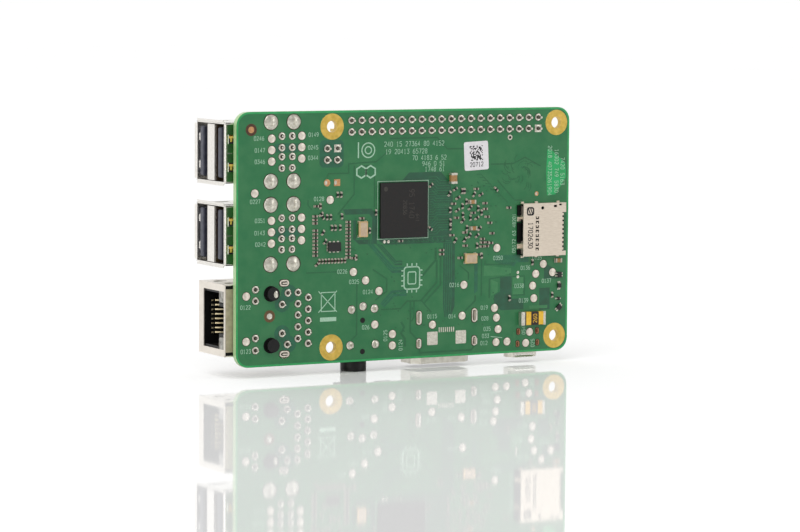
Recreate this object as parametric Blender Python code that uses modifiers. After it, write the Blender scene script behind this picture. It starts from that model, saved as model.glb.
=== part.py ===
"""A single board computer, as an assembly of separate sub-parts.

Every size and place is written in the board's own drawing frame, the way its mechanical drawing
gives them: x runs from the memory-card edge to the USB end, y from the HDMI edge to the pin-header
edge, and z from the underside face (0) up through the component side. One empty, board_frame,
stands that drawing upright: the board rests on its connector edge, with the underside facing -Y.
"""

import math

import bmesh
import bpy
from mathutils import Matrix, Vector

MM = 0.001

# Board
BOARD_LENGTH = 85.0 * MM
BOARD_WIDTH = 56.0 * MM
BOARD_THICKNESS = 1.4 * MM
BOARD_CORNER = 3.0 * MM
MOUNT_HOLE_DIAMETER = 2.7 * MM
MOUNT_HOLE_INSET = 3.5 * MM
MOUNT_HOLE_SPAN_X = 58.0 * MM
MOUNT_HOLE_SPAN_Y = BOARD_WIDTH - 2 * MOUNT_HOLE_INSET
MOUNT_PAD_DIAMETER = 6.0 * MM
COPPER = 0.04 * MM

# How far a cutter passes the face it opens, and how far a joined piece sinks in
CUT = 1.0 * MM
SINK = 0.5 * MM
WELD = 0.001 * MM

# Clearances
SEAT_GAP = 0.15 * MM
FIT_GAP = 0.12 * MM
LEAD_CLEARANCE = 0.12 * MM
LEAD_STICK_OUT = 0.9 * MM

# Pin headers
HEADER_PITCH = 2.54 * MM
HEADER_COLUMNS = 20
HEADER_CENTRE = (MOUNT_HOLE_INSET + MOUNT_HOLE_SPAN_X / 2, MOUNT_HOLE_INSET + MOUNT_HOLE_SPAN_Y)
HEADER_BASE_HEIGHT = 2.54 * MM
HEADER_HEIGHT = 8.5 * MM
HEADER_TAIL = 1.5 * MM
PIN_SIDE = 0.64 * MM
POWER_HEADER_CENTRE = (61.4 * MM, 46.4 * MM)
RESET_HOLES_CENTRE = (61.5 * MM, 40.1 * MM)

# Stacked USB sockets
USB_CENTRES_Y = (47.0 * MM, 29.0 * MM)
USB_LENGTH = 17.5 * MM
USB_OVERHANG = 2.1 * MM
USB_WIDTH = 13.2 * MM
USB_HEIGHT = 14.6 * MM
USB_WALL = 0.3 * MM
USB_PORT_HEIGHT = 5.1 * MM
USB_LIP = 0.75 * MM
USB_SIDE_LIP = 0.6 * MM
USB_LIP_END = 1.0 * MM
USB_TONGUE_WIDTH = 11.1 * MM
USB_TONGUE_THICKNESS = 1.84 * MM
USB_TONGUE_RECESS = 0.6 * MM
USB_TONGUE_FROM_WALL = 0.7 * MM
USB_BACK_LENGTH = 7.2 * MM
USB_LEG_WIDTH = 1.8 * MM
USB_LEGS_FROM_MOUTH = (10.5 * MM, 16.1 * MM)
USB_CONTACT_OFFSETS = (-3.5 * MM, -1.0 * MM, 1.0 * MM, 3.5 * MM)
USB_CONTACT_WIDTH = 1.0 * MM
USB_CONTACT_RAISED = 0.15 * MM

# Network socket
NET_CENTRE_Y = 10.35 * MM
NET_LENGTH = 21.2 * MM
NET_OVERHANG = 2.0 * MM
NET_WIDTH = 15.9 * MM
NET_HEIGHT = 12.9 * MM
NET_WALL = 0.25 * MM
NET_MOUTH_WIDTH = 12.8 * MM
NET_MOUTH_HEIGHT = 10.1 * MM
NET_MOUTH_FROM_FLOOR = 0.8 * MM
NET_FLAP_LENGTH = 6.0 * MM
NET_ROOF_THICKNESS = 1.9 * MM
NET_CAVITY_WIDTH = 11.8 * MM
NET_CAVITY_HEIGHT = 7.2 * MM
NET_CAVITY_DEPTH = 11.0 * MM
NET_LATCH_WIDTH = 6.0 * MM
NET_LATCH_FROM_BACK = 1.0 * MM
NET_LATCH_FROM_FLOOR = 0.4 * MM
NET_LAMP_HEIGHT = 2.1 * MM
NET_LAMP_WIDTH = 3.3 * MM
NET_LAMP_DEPTH = 5.5 * MM
NET_LAMP_BEVEL = 0.15 * MM
NET_LAMP_FROM_FLOOR = 0.35 * MM
NET_LAMP_FROM_SIDE = 0.5 * MM
NET_HOUSING_LENGTH = 14.2 * MM
NET_CONTACT_PITCH = 1.02 * MM
NET_CONTACTS = 8
NET_WIRE = 0.35 * MM
NET_WIRE_LENGTH = 6.0 * MM
NET_WIRE_SLOPE = math.radians(24.0)
NET_CARRIER_LENGTH = 7.0 * MM
NET_CARRIER_FROM_MOUTH = 2.6 * MM
NET_CARRIER_FROM_ROOF = 0.7 * MM
NET_PEG_DIAMETER = 3.0 * MM
NET_PEG_OFFSET = 5.7 * MM
NET_PEGS_FROM_MOUTH = 10.8 * MM
NET_LEGS_FROM_MOUTH = 13.9 * MM

# HDMI socket
HDMI_CENTRE_X = 32.0 * MM
HDMI_WIDTH = 15.0 * MM
HDMI_LENGTH = 11.6 * MM
HDMI_OVERHANG = 1.6 * MM
HDMI_HEIGHT = 6.2 * MM
HDMI_WALL = 0.35 * MM
HDMI_CHAMFER = 1.7 * MM
HDMI_LEGS = ((9.1 * MM, 2.2 * MM), (3.2 * MM, 1.3 * MM))
HDMI_BLOCK_LENGTH = 4.3 * MM
HDMI_BLOCK_FROM_BACK = 0.3 * MM
HDMI_TONGUE_SIDE_GAP = 1.6 * MM
HDMI_TONGUE_THICKNESS = 1.2 * MM
HDMI_TONGUE_RECESS = 0.7 * MM

# Micro-USB power socket
POWER_CENTRE_X = 10.6 * MM
POWER_WIDTH = 7.5 * MM
POWER_LENGTH = 5.7 * MM
POWER_OVERHANG = 1.3 * MM
POWER_HEIGHT = 2.8 * MM
POWER_WALL = 0.25 * MM
POWER_CHAMFER = 0.8 * MM
POWER_LEGS_Y = (1.9 * MM, 4.0 * MM)
POWER_BLOCK_LENGTH = 1.6 * MM
POWER_BLOCK_FROM_BACK = 0.2 * MM
POWER_TONGUE_WIDTH = 3.7 * MM
POWER_TONGUE_THICKNESS = 0.6 * MM
POWER_TONGUE_FROM_ROOF = 0.55 * MM

# Audio jack
AUDIO_CENTRE_X = 53.5 * MM
AUDIO_WIDTH = 7.0 * MM
AUDIO_HEIGHT = 5.9 * MM
AUDIO_START_Y = 0.4 * MM
AUDIO_LENGTH = 12.4 * MM
AUDIO_NOSE_DIAMETER = 5.8 * MM
AUDIO_OVERHANG = 2.5 * MM
AUDIO_BORE = 3.6 * MM
AUDIO_CONTACT_PLACES = ((2.95, 11.7), (-2.95, 11.7), (2.95, 3.7), (-2.95, 3.7))
AUDIO_LEAF = 0.3 * MM
AUDIO_LEAF_WIDTH = 2.0 * MM
AUDIO_LEAF_HEIGHT = 3.6 * MM
AUDIO_PIN_WIDTH = 0.8 * MM

# Flat-cable connectors
FLEX_CENTRES = {"camera": (45.0 * MM, 11.5 * MM), "display": (4.2 * MM, 28.0 * MM)}
FLEX_LENGTH = 20.4 * MM
FLEX_WIDTH = 3.8 * MM
FLEX_HEIGHT = 4.2 * MM
FLEX_SLOT_LENGTH = 16.4 * MM
FLEX_SLOT_WIDTH = 1.8 * MM
FLEX_SLOT_DEPTH = 3.4 * MM
LATCH_THICKNESS = 1.1 * MM
LATCH_ARM = 0.6 * MM
LATCH_ARM_DROP = 2.6 * MM
LATCH_WEDGE = 0.7 * MM
LATCH_ARM_SHARE = 0.6

# Memory-card socket, on the underside
CARD_CENTRE = (7.3 * MM, 28.15 * MM)
CARD_LENGTH = 11.6 * MM
CARD_WIDTH = 12.1 * MM
CARD_HEIGHT = 1.35 * MM
CARD_WALL = 0.2 * MM
CARD_BASE = 0.4 * MM

# Processor and its lid
PROCESSOR_CENTRE = (26.4 * MM, 30.4 * MM)
PROCESSOR_SIDE = 14.0 * MM
PROCESSOR_BASE = 0.5 * MM
PROCESSOR_LID_SIDE = 13.4 * MM
PROCESSOR_LID_HEIGHT = 1.3 * MM
PROCESSOR_LID_WALL = 0.5 * MM
PROCESSOR_LID_RIM = 1.5 * MM
LID_BEVEL = 0.2 * MM
PROCESSOR_DIE_SIDE = 8.0 * MM
PROCESSOR_DIE_HEIGHT = 0.5 * MM

# Wireless shield can
SHIELD_CENTRE = (13.4 * MM, 43.0 * MM)
SHIELD_LENGTH = 12.2 * MM
SHIELD_WIDTH = 10.4 * MM
SHIELD_HEIGHT = 1.6 * MM
SHIELD_WALL = 0.2 * MM
WIRELESS_CHIP_SIDE = 4.8 * MM
WIRELESS_CHIP_HEIGHT = 0.7 * MM

# Plain chips and blocks: centre x, centre y, length, width, height, edge bevel, material
TOP_BLOCKS = {
    "network_and_usb_controller": (61.3, 28.2, 9.4, 9.4, 0.9, 0.12, "chip_black"),
    "power_management_chip": (15.6, 14.4, 5.0, 5.0, 0.8, 0.1, "chip_black"),
    "power_inductor_1": (10.2, 9.6, 3.0, 3.0, 1.4, 0.25, "ferrite"),
    "power_inductor_2": (10.2, 13.6, 3.0, 3.0, 1.4, 0.25, "ferrite"),
    "power_inductor_3": (10.2, 17.6, 3.0, 3.0, 1.4, 0.25, "ferrite"),
    "power_inductor_4": (16.6, 20.2, 3.0, 3.0, 1.4, 0.25, "ferrite"),
    "usb_current_switch": (66.0, 38.0, 2.9, 1.6, 1.1, 0.1, "chip_black"),
    "controller_crystal": (54.2, 22.6, 3.2, 2.5, 0.7, 0.1, "crystal_can"),
    "usb_reservoir_capacitor": (63.6, 18.6, 3.5, 2.8, 1.9, 0.15, "capacitor_tan"),
    "power_led": (1.3, 8.2, 0.8, 1.6, 0.6, 0.08, "led_red"),
    "activity_led": (1.3, 11.6, 0.8, 1.6, 0.6, 0.08, "led_green"),
}
UNDERSIDE_BLOCKS = {
    "memory_chip": (43.6, 33.6, 12.0, 12.4, 0.85, 0.08, "chip_grey"),
    "processor_crystal": (26.1, 22.1, 3.1, 2.3, 0.7, 0.1, "crystal_can"),
    "controller_clock": (53.85, 29.6, 2.2, 3.5, 0.7, 0.1, "crystal_can"),
    "core_regulator": (61.0, 25.9, 3.0, 2.0, 0.7, 0.08, "chip_black"),
    "bulk_capacitor": (31.0, 40.4, 1.5, 2.4, 1.2, 0.15, "capacitor_tan"),
    "input_fuse": (9.8, 7.8, 6.4, 3.0, 1.1, 0.1, "fuse_yellow"),
}

MATERIALS = {
    "board_green": ((0.02, 0.19, 0.07), 0.35, 0.0),
    "plastic_black": ((0.015, 0.015, 0.016), 0.45, 0.0),
    "plastic_navy": ((0.03, 0.035, 0.055), 0.4, 0.0),
    "plastic_cream": ((0.72, 0.66, 0.52), 0.5, 0.0),
    "latch_brown": ((0.05, 0.03, 0.02), 0.45, 0.0),
    "steel_bright": ((0.72, 0.71, 0.69), 0.28, 1.0),
    "steel_warm": ((0.7, 0.66, 0.58), 0.32, 1.0),
    "pin_gold": ((0.83, 0.62, 0.25), 0.3, 1.0),
    "chip_black": ((0.02, 0.02, 0.022), 0.5, 0.0),
    "chip_grey": ((0.045, 0.045, 0.047), 0.55, 0.0),
    "silicon": ((0.12, 0.12, 0.14), 0.2, 0.3),
    "ferrite": ((0.07, 0.07, 0.075), 0.6, 0.0),
    "crystal_can": ((0.78, 0.72, 0.55), 0.35, 0.9),
    "capacitor_tan": ((0.46, 0.33, 0.2), 0.45, 0.0),
    "fuse_yellow": ((0.8, 0.55, 0.12), 0.4, 0.0),
    "led_red": ((0.75, 0.2, 0.15), 0.25, 0.0),
    "led_green": ((0.35, 0.7, 0.3), 0.25, 0.0),
    "led_amber": ((0.85, 0.6, 0.2), 0.25, 0.0),
}

BOARD_TOP = BOARD_THICKNESS
SEAT_Z = BOARD_TOP + SEAT_GAP
USB_MOUTH_X = BOARD_LENGTH + USB_OVERHANG
NET_MOUTH_X = BOARD_LENGTH + NET_OVERHANG
CARD_CENTRE_X, CARD_CENTRE_Y = CARD_CENTRE


def clear_scene():
    for obj in list(bpy.data.objects):
        bpy.data.objects.remove(obj, do_unlink=True)


def new_collection(name, shown):
    collection = bpy.data.collections.new(name)
    collection.hide_render = not shown
    bpy.context.scene.collection.children.link(collection)
    return collection


def make_materials():
    for name, (colour, roughness, metallic) in MATERIALS.items():
        material = bpy.data.materials.new(name)
        material.use_nodes = True
        shader = material.node_tree.nodes["Principled BSDF"]
        shader.inputs["Base Color"].default_value = (*colour, 1.0)
        shader.inputs["Roughness"].default_value = roughness
        shader.inputs["Metallic"].default_value = metallic
        material.diffuse_color = (*colour, 1.0)


def place(name, mesh, location, rotation=(0.0, 0.0, 0.0), collection=None):
    """Puts a mesh in the drawing frame as an object of its own."""
    obj = bpy.data.objects.new(name, mesh)
    (collection or part_collection).objects.link(obj)
    obj.parent = board_frame
    obj.location = location
    obj.rotation_euler = rotation
    return obj


def add_box(bm, size, centre, turn_y=0.0):
    """Adds a box to a bmesh, turned about an axis along y through its own centre."""
    turned = Matrix.Translation(Vector(centre)) @ Matrix.Rotation(turn_y, 4, "Y")
    bmesh.ops.create_cube(bm, size=1.0, matrix=turned @ Matrix.Diagonal((*size, 1.0)))


def mesh_of(name, bm):
    mesh = bpy.data.meshes.new(name)
    bm.to_mesh(mesh)
    bm.free()
    return mesh


def finish(obj, material, bevel=0.0):
    """Gives an object its material and, where asked, a small bevel on its sharp edges."""
    obj.data.materials.clear()
    obj.data.materials.append(bpy.data.materials[material])
    if bevel:
        edge = obj.modifiers.new("edge_bevel", "BEVEL")
        edge.width = bevel
        edge.segments = 1
        edge.limit_method = "ANGLE"
        edge.angle_limit = math.radians(40.0)
    return obj


def span(low, high):
    """Size and centre of the box between two corners."""
    low = Vector(low)
    high = Vector(high)
    return high - low, (low + high) / 2


def box(name, low, high, material, bevel=0.0):
    size, centre = span(low, high)
    bm = bmesh.new()
    add_box(bm, size, (0.0, 0.0, 0.0))
    return finish(place(name, mesh_of(name, bm), centre), material, bevel)


def helper(name, mesh, rotation=(0.0, 0.0, 0.0), location=(0.0, 0.0, 0.0)):
    obj = place(name, mesh, location, rotation, helper_collection)
    obj.hide_render = True
    obj.display_type = "WIRE"
    return obj


def boolean(target, operand, operation, solver="EXACT"):
    modifier = target.modifiers.new(operand.name, "BOOLEAN")
    modifier.operation = operation
    modifier.solver = solver
    modifier.object = operand
    return target


def boxes_helper(name, spans):
    bm = bmesh.new()
    for low, high in spans:
        add_box(bm, *span(low, high))
    return helper(name, mesh_of(name, bm))


def cut_boxes(target, spans):
    return boolean(target, boxes_helper(target.name + "_cutter", spans), "DIFFERENCE")


def join_boxes(target, spans):
    return boolean(target, boxes_helper(target.name + "_addition", spans), "UNION")


def circle(radius, centre=(0.0, 0.0), steps=24, start=0.0):
    turns = [start + 2 * math.pi * i / steps for i in range(steps)]
    return [(centre[0] + radius * math.cos(a), centre[1] + radius * math.sin(a)) for a in turns]


def rounded_rectangle(width, height, radius, steps=6):
    """Outline centred on zero, counter-clockwise, with round corners."""
    points = []
    for quarter, (side_x, side_y) in enumerate(((1, 1), (-1, 1), (-1, -1), (1, -1))):
        centre = (side_x * (width / 2 - radius), side_y * (height / 2 - radius))
        for i in range(steps + 1):
            a = math.pi / 2 * (quarter + i / steps)
            points.append((centre[0] + radius * math.cos(a), centre[1] + radius * math.sin(a)))
    return points


def chamfered_outline(width, height, chamfer):
    """A socket outline whose two corners at the lower edge are cut off."""
    x, y = width / 2, height / 2
    cut_left = [(-x, chamfer - y), (chamfer - x, -y)]
    cut_right = [(x - chamfer, -y), (x, chamfer - y)]
    return [(x, y), (-x, y), *cut_left, *cut_right]


def extruded_mesh(name, loops, depth):
    """A flat outline with holes, given thickness: a filled 2D curve turned into a mesh."""
    curve = bpy.data.curves.new(name, "CURVE")
    curve.dimensions = "2D"
    curve.fill_mode = "BOTH"
    curve.extrude = depth / 2
    for loop in loops:
        spline = curve.splines.new("POLY")
        spline.points.add(len(loop) - 1)
        for point, (x, y) in zip(spline.points, loop):
            point.co = (x, y, 0.0, 1.0)
        spline.use_cyclic_u = True
    source = bpy.data.objects.new(name + "_curve", curve)
    bpy.context.scene.collection.objects.link(source)
    graph = bpy.context.evaluated_depsgraph_get()
    mesh = bpy.data.meshes.new_from_object(source.evaluated_get(graph))
    bpy.data.objects.remove(source, do_unlink=True)
    mesh.name = name
    bm = bmesh.new()
    bm.from_mesh(mesh)
    bmesh.ops.remove_doubles(bm, verts=bm.verts, dist=WELD)
    bmesh.ops.recalc_face_normals(bm, faces=bm.faces)
    bm.to_mesh(mesh)
    bm.free()
    return mesh


def extruded(name, loops, depth, centre, material, rotation=(0.0, 0.0, 0.0)):
    return finish(place(name, extruded_mesh(name, loops, depth), centre, rotation), material)


def header_places(centre, columns):
    """Centres of a two-row header's pins."""
    for column in range(columns):
        x = centre[0] + (column - (columns - 1) / 2) * HEADER_PITCH
        yield x, centre[1] - HEADER_PITCH / 2
        yield x, centre[1] + HEADER_PITCH / 2


def mount_hole_places():
    for x in (MOUNT_HOLE_INSET, MOUNT_HOLE_INSET + MOUNT_HOLE_SPAN_X):
        for y in (MOUNT_HOLE_INSET, MOUNT_HOLE_INSET + MOUNT_HOLE_SPAN_Y):
            yield x, y


def usb_leg_places():
    for centre_y in USB_CENTRES_Y:
        for back in USB_LEGS_FROM_MOUTH:
            for side in (-1, 1):
                yield USB_MOUTH_X - back, centre_y + side * (USB_WIDTH - USB_WALL) / 2


def net_peg_places():
    for side in (-1, 1):
        yield NET_MOUTH_X - NET_PEGS_FROM_MOUTH, NET_CENTRE_Y + side * NET_PEG_OFFSET


def audio_contact_places():
    for offset, y in AUDIO_CONTACT_PLACES:
        yield AUDIO_CENTRE_X + offset * MM, y * MM


def lead_hole(width, thickness):
    """Radius of a round hole that a flat leg or a square pin passes through."""
    return math.hypot(width, thickness) / 2 + LEAD_CLEARANCE


def board_holes():
    """Every hole through the board, as outlines in the drawing frame."""
    for place_xy in mount_hole_places():
        yield circle(MOUNT_HOLE_DIAMETER / 2, place_xy)
    pin_hole = lead_hole(PIN_SIDE, PIN_SIDE)
    pins = list(header_places(HEADER_CENTRE, HEADER_COLUMNS))
    pins.extend(header_places(POWER_HEADER_CENTRE, 2))
    for side in (-1, 1):
        pins.append((RESET_HOLES_CENTRE[0] + side * HEADER_PITCH / 2, RESET_HOLES_CENTRE[1]))
    for place_xy in pins:
        yield circle(pin_hole, place_xy, 8, math.pi / 8)
    for place_xy in usb_leg_places():
        yield circle(lead_hole(USB_LEG_WIDTH, USB_WALL), place_xy, 10)
    for place_xy in net_peg_places():
        yield circle(NET_PEG_DIAMETER / 2 + LEAD_CLEARANCE, place_xy, 16)
    for side in (-1, 1):
        leg = (NET_MOUTH_X - NET_LEGS_FROM_MOUTH, NET_CENTRE_Y + side * (NET_WIDTH - NET_WALL) / 2)
        yield circle(lead_hole(USB_LEG_WIDTH, NET_WALL), leg, 10)
        for y, length in HDMI_LEGS:
            x = HDMI_CENTRE_X + side * (HDMI_WIDTH - HDMI_WALL) / 2
            yield slot_outline(x, y, HDMI_WALL, length)
        for y in POWER_LEGS_Y:
            x = POWER_CENTRE_X + side * (POWER_WIDTH - POWER_WALL) / 2
            yield slot_outline(x, y, POWER_WALL, POWER_WALL * 3)
    for place_xy in audio_contact_places():
        yield circle(lead_hole(AUDIO_PIN_WIDTH, AUDIO_LEAF), place_xy, 8)


def slot_outline(x, y, thickness, length):
    """A rectangular slot around a leg, with the leads' clearance all round."""
    half_x = thickness / 2 + LEAD_CLEARANCE
    half_y = length / 2 + LEAD_CLEARANCE
    far = [(x + half_x, y + half_y), (x - half_x, y + half_y)]
    near = [(x - half_x, y - half_y), (x + half_x, y - half_y)]
    return far + near


def make_board():
    """The laminate, with round corners, holes and raised copper rings at the mounting holes."""
    middle = (BOARD_LENGTH / 2, BOARD_WIDTH / 2)
    outline = rounded_rectangle(BOARD_LENGTH, BOARD_WIDTH, BOARD_CORNER)
    loops = [[(x + middle[0], y + middle[1]) for x, y in outline], *board_holes()]
    centre = (0, 0, BOARD_THICKNESS / 2)
    board = extruded("circuit_board", loops, BOARD_THICKNESS, centre, "board_green")
    inner = MOUNT_HOLE_DIAMETER / 2 + COPPER
    for number, place_xy in enumerate(mount_hole_places(), 1):
        rings = [circle(MOUNT_PAD_DIAMETER / 2, place_xy, 32), circle(inner, place_xy, 24)]
        mesh = extruded_mesh(f"mounting_ring_{number}", rings, BOARD_THICKNESS + 2 * COPPER)
        ring = helper(f"mounting_ring_{number}", mesh, location=(0, 0, BOARD_THICKNESS / 2))
        boolean(board, ring, "UNION", "MANIFOLD")
    return board


def make_header(name, centre, columns):
    """A moulded strip with square pins through it and down through the board."""
    length = columns * HEADER_PITCH
    base_top = SEAT_Z + HEADER_BASE_HEIGHT
    low = (centre[0] - length / 2, centre[1] - HEADER_PITCH, SEAT_Z)
    high = (centre[0] + length / 2, centre[1] + HEADER_PITCH, base_top)
    header = box(name, low, high, "plastic_black")
    half = PIN_SIDE / 2
    pins = [
        ((x - half, y - half, -HEADER_TAIL), (x + half, y + half, BOARD_TOP + HEADER_HEIGHT))
        for x, y in header_places(centre, columns)
    ]
    return join_boxes(header, pins)


def usb_port_floors():
    """Lowest z inside each of a stack's two ports, the board-side port first."""
    lower = SEAT_Z + USB_WALL
    upper = SEAT_Z + USB_HEIGHT - USB_WALL - USB_PORT_HEIGHT
    return lower, upper


def make_usb_shell(number, centre_y):
    """Folded steel box with an open mouth, flared lips on three sides, and four legs."""
    back = USB_MOUTH_X - USB_LENGTH
    half = USB_WIDTH / 2
    top = SEAT_Z + USB_HEIGHT
    shell = box(
        f"usb_shell_{number}",
        (back, centre_y - half, SEAT_Z),
        (USB_MOUTH_X, centre_y + half, top),
        "steel_bright",
    )
    inner = half - USB_WALL
    cavity = (
        (back + USB_WALL, centre_y - inner, SEAT_Z + USB_WALL),
        (USB_MOUTH_X + CUT, centre_y + inner, top - USB_WALL),
    )
    cut_boxes(shell, [cavity])
    lip_back = USB_MOUTH_X - USB_WALL
    overlap = USB_WALL / 2
    additions = [
        (
            (lip_back, centre_y - inner, top - overlap),
            (USB_MOUTH_X, centre_y + inner, top + USB_LIP),
        )
    ]
    for side in (-1, 1):
        ys = sorted((centre_y + side * (half - overlap), centre_y + side * (half + USB_SIDE_LIP)))
        additions.append(
            (
                (lip_back, ys[0], SEAT_Z + USB_LIP_END),
                (USB_MOUTH_X, ys[1], top - USB_LIP_END),
            )
        )
        wall = sorted((centre_y + side * half, centre_y + side * (half - USB_WALL)))
        for from_mouth in USB_LEGS_FROM_MOUTH:
            x = USB_MOUTH_X - from_mouth
            additions.append(
                (
                    (x - USB_LEG_WIDTH / 2, wall[0], -LEAD_STICK_OUT),
                    (x + USB_LEG_WIDTH / 2, wall[1], SEAT_Z + CUT),
                )
            )
    return join_boxes(shell, additions)


def make_usb_divider(number, centre_y):
    """Steel channel between the two ports: a front face and two decks, open at the back."""
    lower, upper = usb_port_floors()
    half = USB_WIDTH / 2 - USB_WALL - FIT_GAP
    back = USB_MOUTH_X - USB_LENGTH + USB_WALL + USB_BACK_LENGTH + 3 * FIT_GAP
    front = USB_MOUTH_X - USB_WALL
    floor, roof = lower + USB_PORT_HEIGHT, upper
    divider = box(
        f"usb_divider_{number}",
        (back, centre_y - half, floor),
        (front, centre_y + half, roof),
        "steel_bright",
    )
    hollow = (
        (back - CUT, centre_y - half - CUT, floor + USB_WALL),
        (front - USB_WALL, centre_y + half + CUT, roof - USB_WALL),
    )
    return cut_boxes(divider, [hollow])


def make_usb_insulator(number, centre_y):
    """Moulded block behind the ports, with a tongue and four contacts in each."""
    back = USB_MOUTH_X - USB_LENGTH + USB_WALL + FIT_GAP
    block_front = back + USB_BACK_LENGTH
    half = USB_WIDTH / 2 - USB_WALL - FIT_GAP
    low = (back, centre_y - half, SEAT_Z + USB_WALL + FIT_GAP)
    high = (block_front, centre_y + half, SEAT_Z + USB_HEIGHT - USB_WALL - FIT_GAP)
    insulator = box(f"usb_insulator_{number}", low, high, "plastic_navy")
    tongues = []
    contacts = []
    front = USB_MOUTH_X - USB_TONGUE_RECESS
    side = USB_TONGUE_WIDTH / 2
    for floor in usb_port_floors():
        tongue_top = floor + USB_PORT_HEIGHT - USB_TONGUE_FROM_WALL
        tongue_floor = tongue_top - USB_TONGUE_THICKNESS
        tongue_low = (block_front - CUT, centre_y - side, tongue_floor)
        tongues.append((tongue_low, (front, centre_y + side, tongue_top)))
        for offset in USB_CONTACT_OFFSETS:
            y = centre_y + offset - USB_CONTACT_WIDTH / 2
            contacts.append(
                (
                    (block_front - SINK, y, tongue_floor - USB_CONTACT_RAISED),
                    (front - CUT, y + USB_CONTACT_WIDTH, tongue_floor + USB_CONTACT_RAISED),
                )
            )
    boolean(insulator, boxes_helper(insulator.name + "_tongues", tongues), "UNION")
    return boolean(insulator, boxes_helper(insulator.name + "_contacts", contacts), "UNION")


def make_net_shield():
    """Folded steel cover of the network socket: front frame, two sides, back, top, front flap."""
    back = NET_MOUTH_X - NET_LENGTH
    half = NET_WIDTH / 2
    top = SEAT_Z + NET_HEIGHT
    shield = box(
        "network_shield",
        (back, NET_CENTRE_Y - half, SEAT_Z),
        (NET_MOUTH_X, NET_CENTRE_Y + half, top),
        "steel_warm",
    )
    inner = half - NET_WALL
    hollow = (
        (back + NET_WALL, NET_CENTRE_Y - inner, SEAT_Z + NET_WALL),
        (NET_MOUTH_X - NET_WALL, NET_CENTRE_Y + inner, top - NET_WALL),
    )
    cut_boxes(shield, [hollow])
    mouth = NET_MOUTH_WIDTH / 2
    mouth_floor = SEAT_Z + NET_MOUTH_FROM_FLOOR
    opening = (
        (NET_MOUTH_X - CUT, NET_CENTRE_Y - mouth, mouth_floor),
        (NET_MOUTH_X + CUT, NET_CENTRE_Y + mouth, mouth_floor + NET_MOUTH_HEIGHT),
    )
    boolean(shield, boxes_helper("network_shield_opening", [opening]), "DIFFERENCE")
    latch = NET_LATCH_WIDTH / 2
    notch = (
        (NET_MOUTH_X - CUT, NET_CENTRE_Y - latch, SEAT_Z + NET_WALL + FIT_GAP),
        (NET_MOUTH_X + CUT, NET_CENTRE_Y + latch, mouth_floor + CUT),
    )
    boolean(shield, boxes_helper("network_shield_notch", [notch]), "DIFFERENCE")
    under = (
        (back - CUT, NET_CENTRE_Y - inner, SEAT_Z - CUT),
        (NET_MOUTH_X - NET_FLAP_LENGTH, NET_CENTRE_Y + inner, SEAT_Z + 2 * NET_WALL),
    )
    boolean(shield, boxes_helper("network_shield_underside", [under]), "DIFFERENCE")
    legs = []
    x = NET_MOUTH_X - NET_LEGS_FROM_MOUTH
    for side in (-1, 1):
        outside = NET_CENTRE_Y + side * half
        wall = sorted((outside, outside - side * NET_WALL))
        leg_low = (x - USB_LEG_WIDTH / 2, wall[0], -LEAD_STICK_OUT)
        legs.append((leg_low, (x + USB_LEG_WIDTH / 2, wall[1], SEAT_Z + CUT)))
    return join_boxes(shield, legs)


def net_inside():
    """The space inside the network shield: its half width, floor and roof."""
    half = NET_WIDTH / 2 - NET_WALL - FIT_GAP
    floor = SEAT_Z + NET_WALL + FIT_GAP
    roof = SEAT_Z + NET_HEIGHT - NET_WALL - FIT_GAP
    return half, floor, roof


def net_lamp_box(side, clearance):
    """Corners of one status lamp's space, at the mouth's board-side corner."""
    half, floor, _ = net_inside()
    low_z = floor + NET_LAMP_FROM_FLOOR - clearance
    high_z = low_z + NET_LAMP_HEIGHT + 2 * clearance
    inner = half - NET_LAMP_FROM_SIDE - NET_LAMP_WIDTH - clearance
    outer = inner + NET_LAMP_WIDTH + 2 * clearance
    ys = sorted((NET_CENTRE_Y + side * inner, NET_CENTRE_Y + side * outer))
    front = NET_MOUTH_X - NET_WALL - FIT_GAP
    return (front - NET_LAMP_DEPTH - clearance, ys[0], low_z), (front, ys[1], high_z)


def net_carrier_box(clearance):
    """Corners of the contact carrier's space in the roof of the plug cavity."""
    _, _, roof = net_inside()
    front = NET_MOUTH_X - NET_CARRIER_FROM_MOUTH + clearance
    back = front - NET_CARRIER_LENGTH - 2 * clearance
    half = NET_CONTACTS * NET_CONTACT_PITCH / 2 + clearance
    low = (back, NET_CENTRE_Y - half, roof - NET_ROOF_THICKNESS)
    return low, (front, NET_CENTRE_Y + half, roof - NET_CARRIER_FROM_ROOF + clearance)


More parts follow.
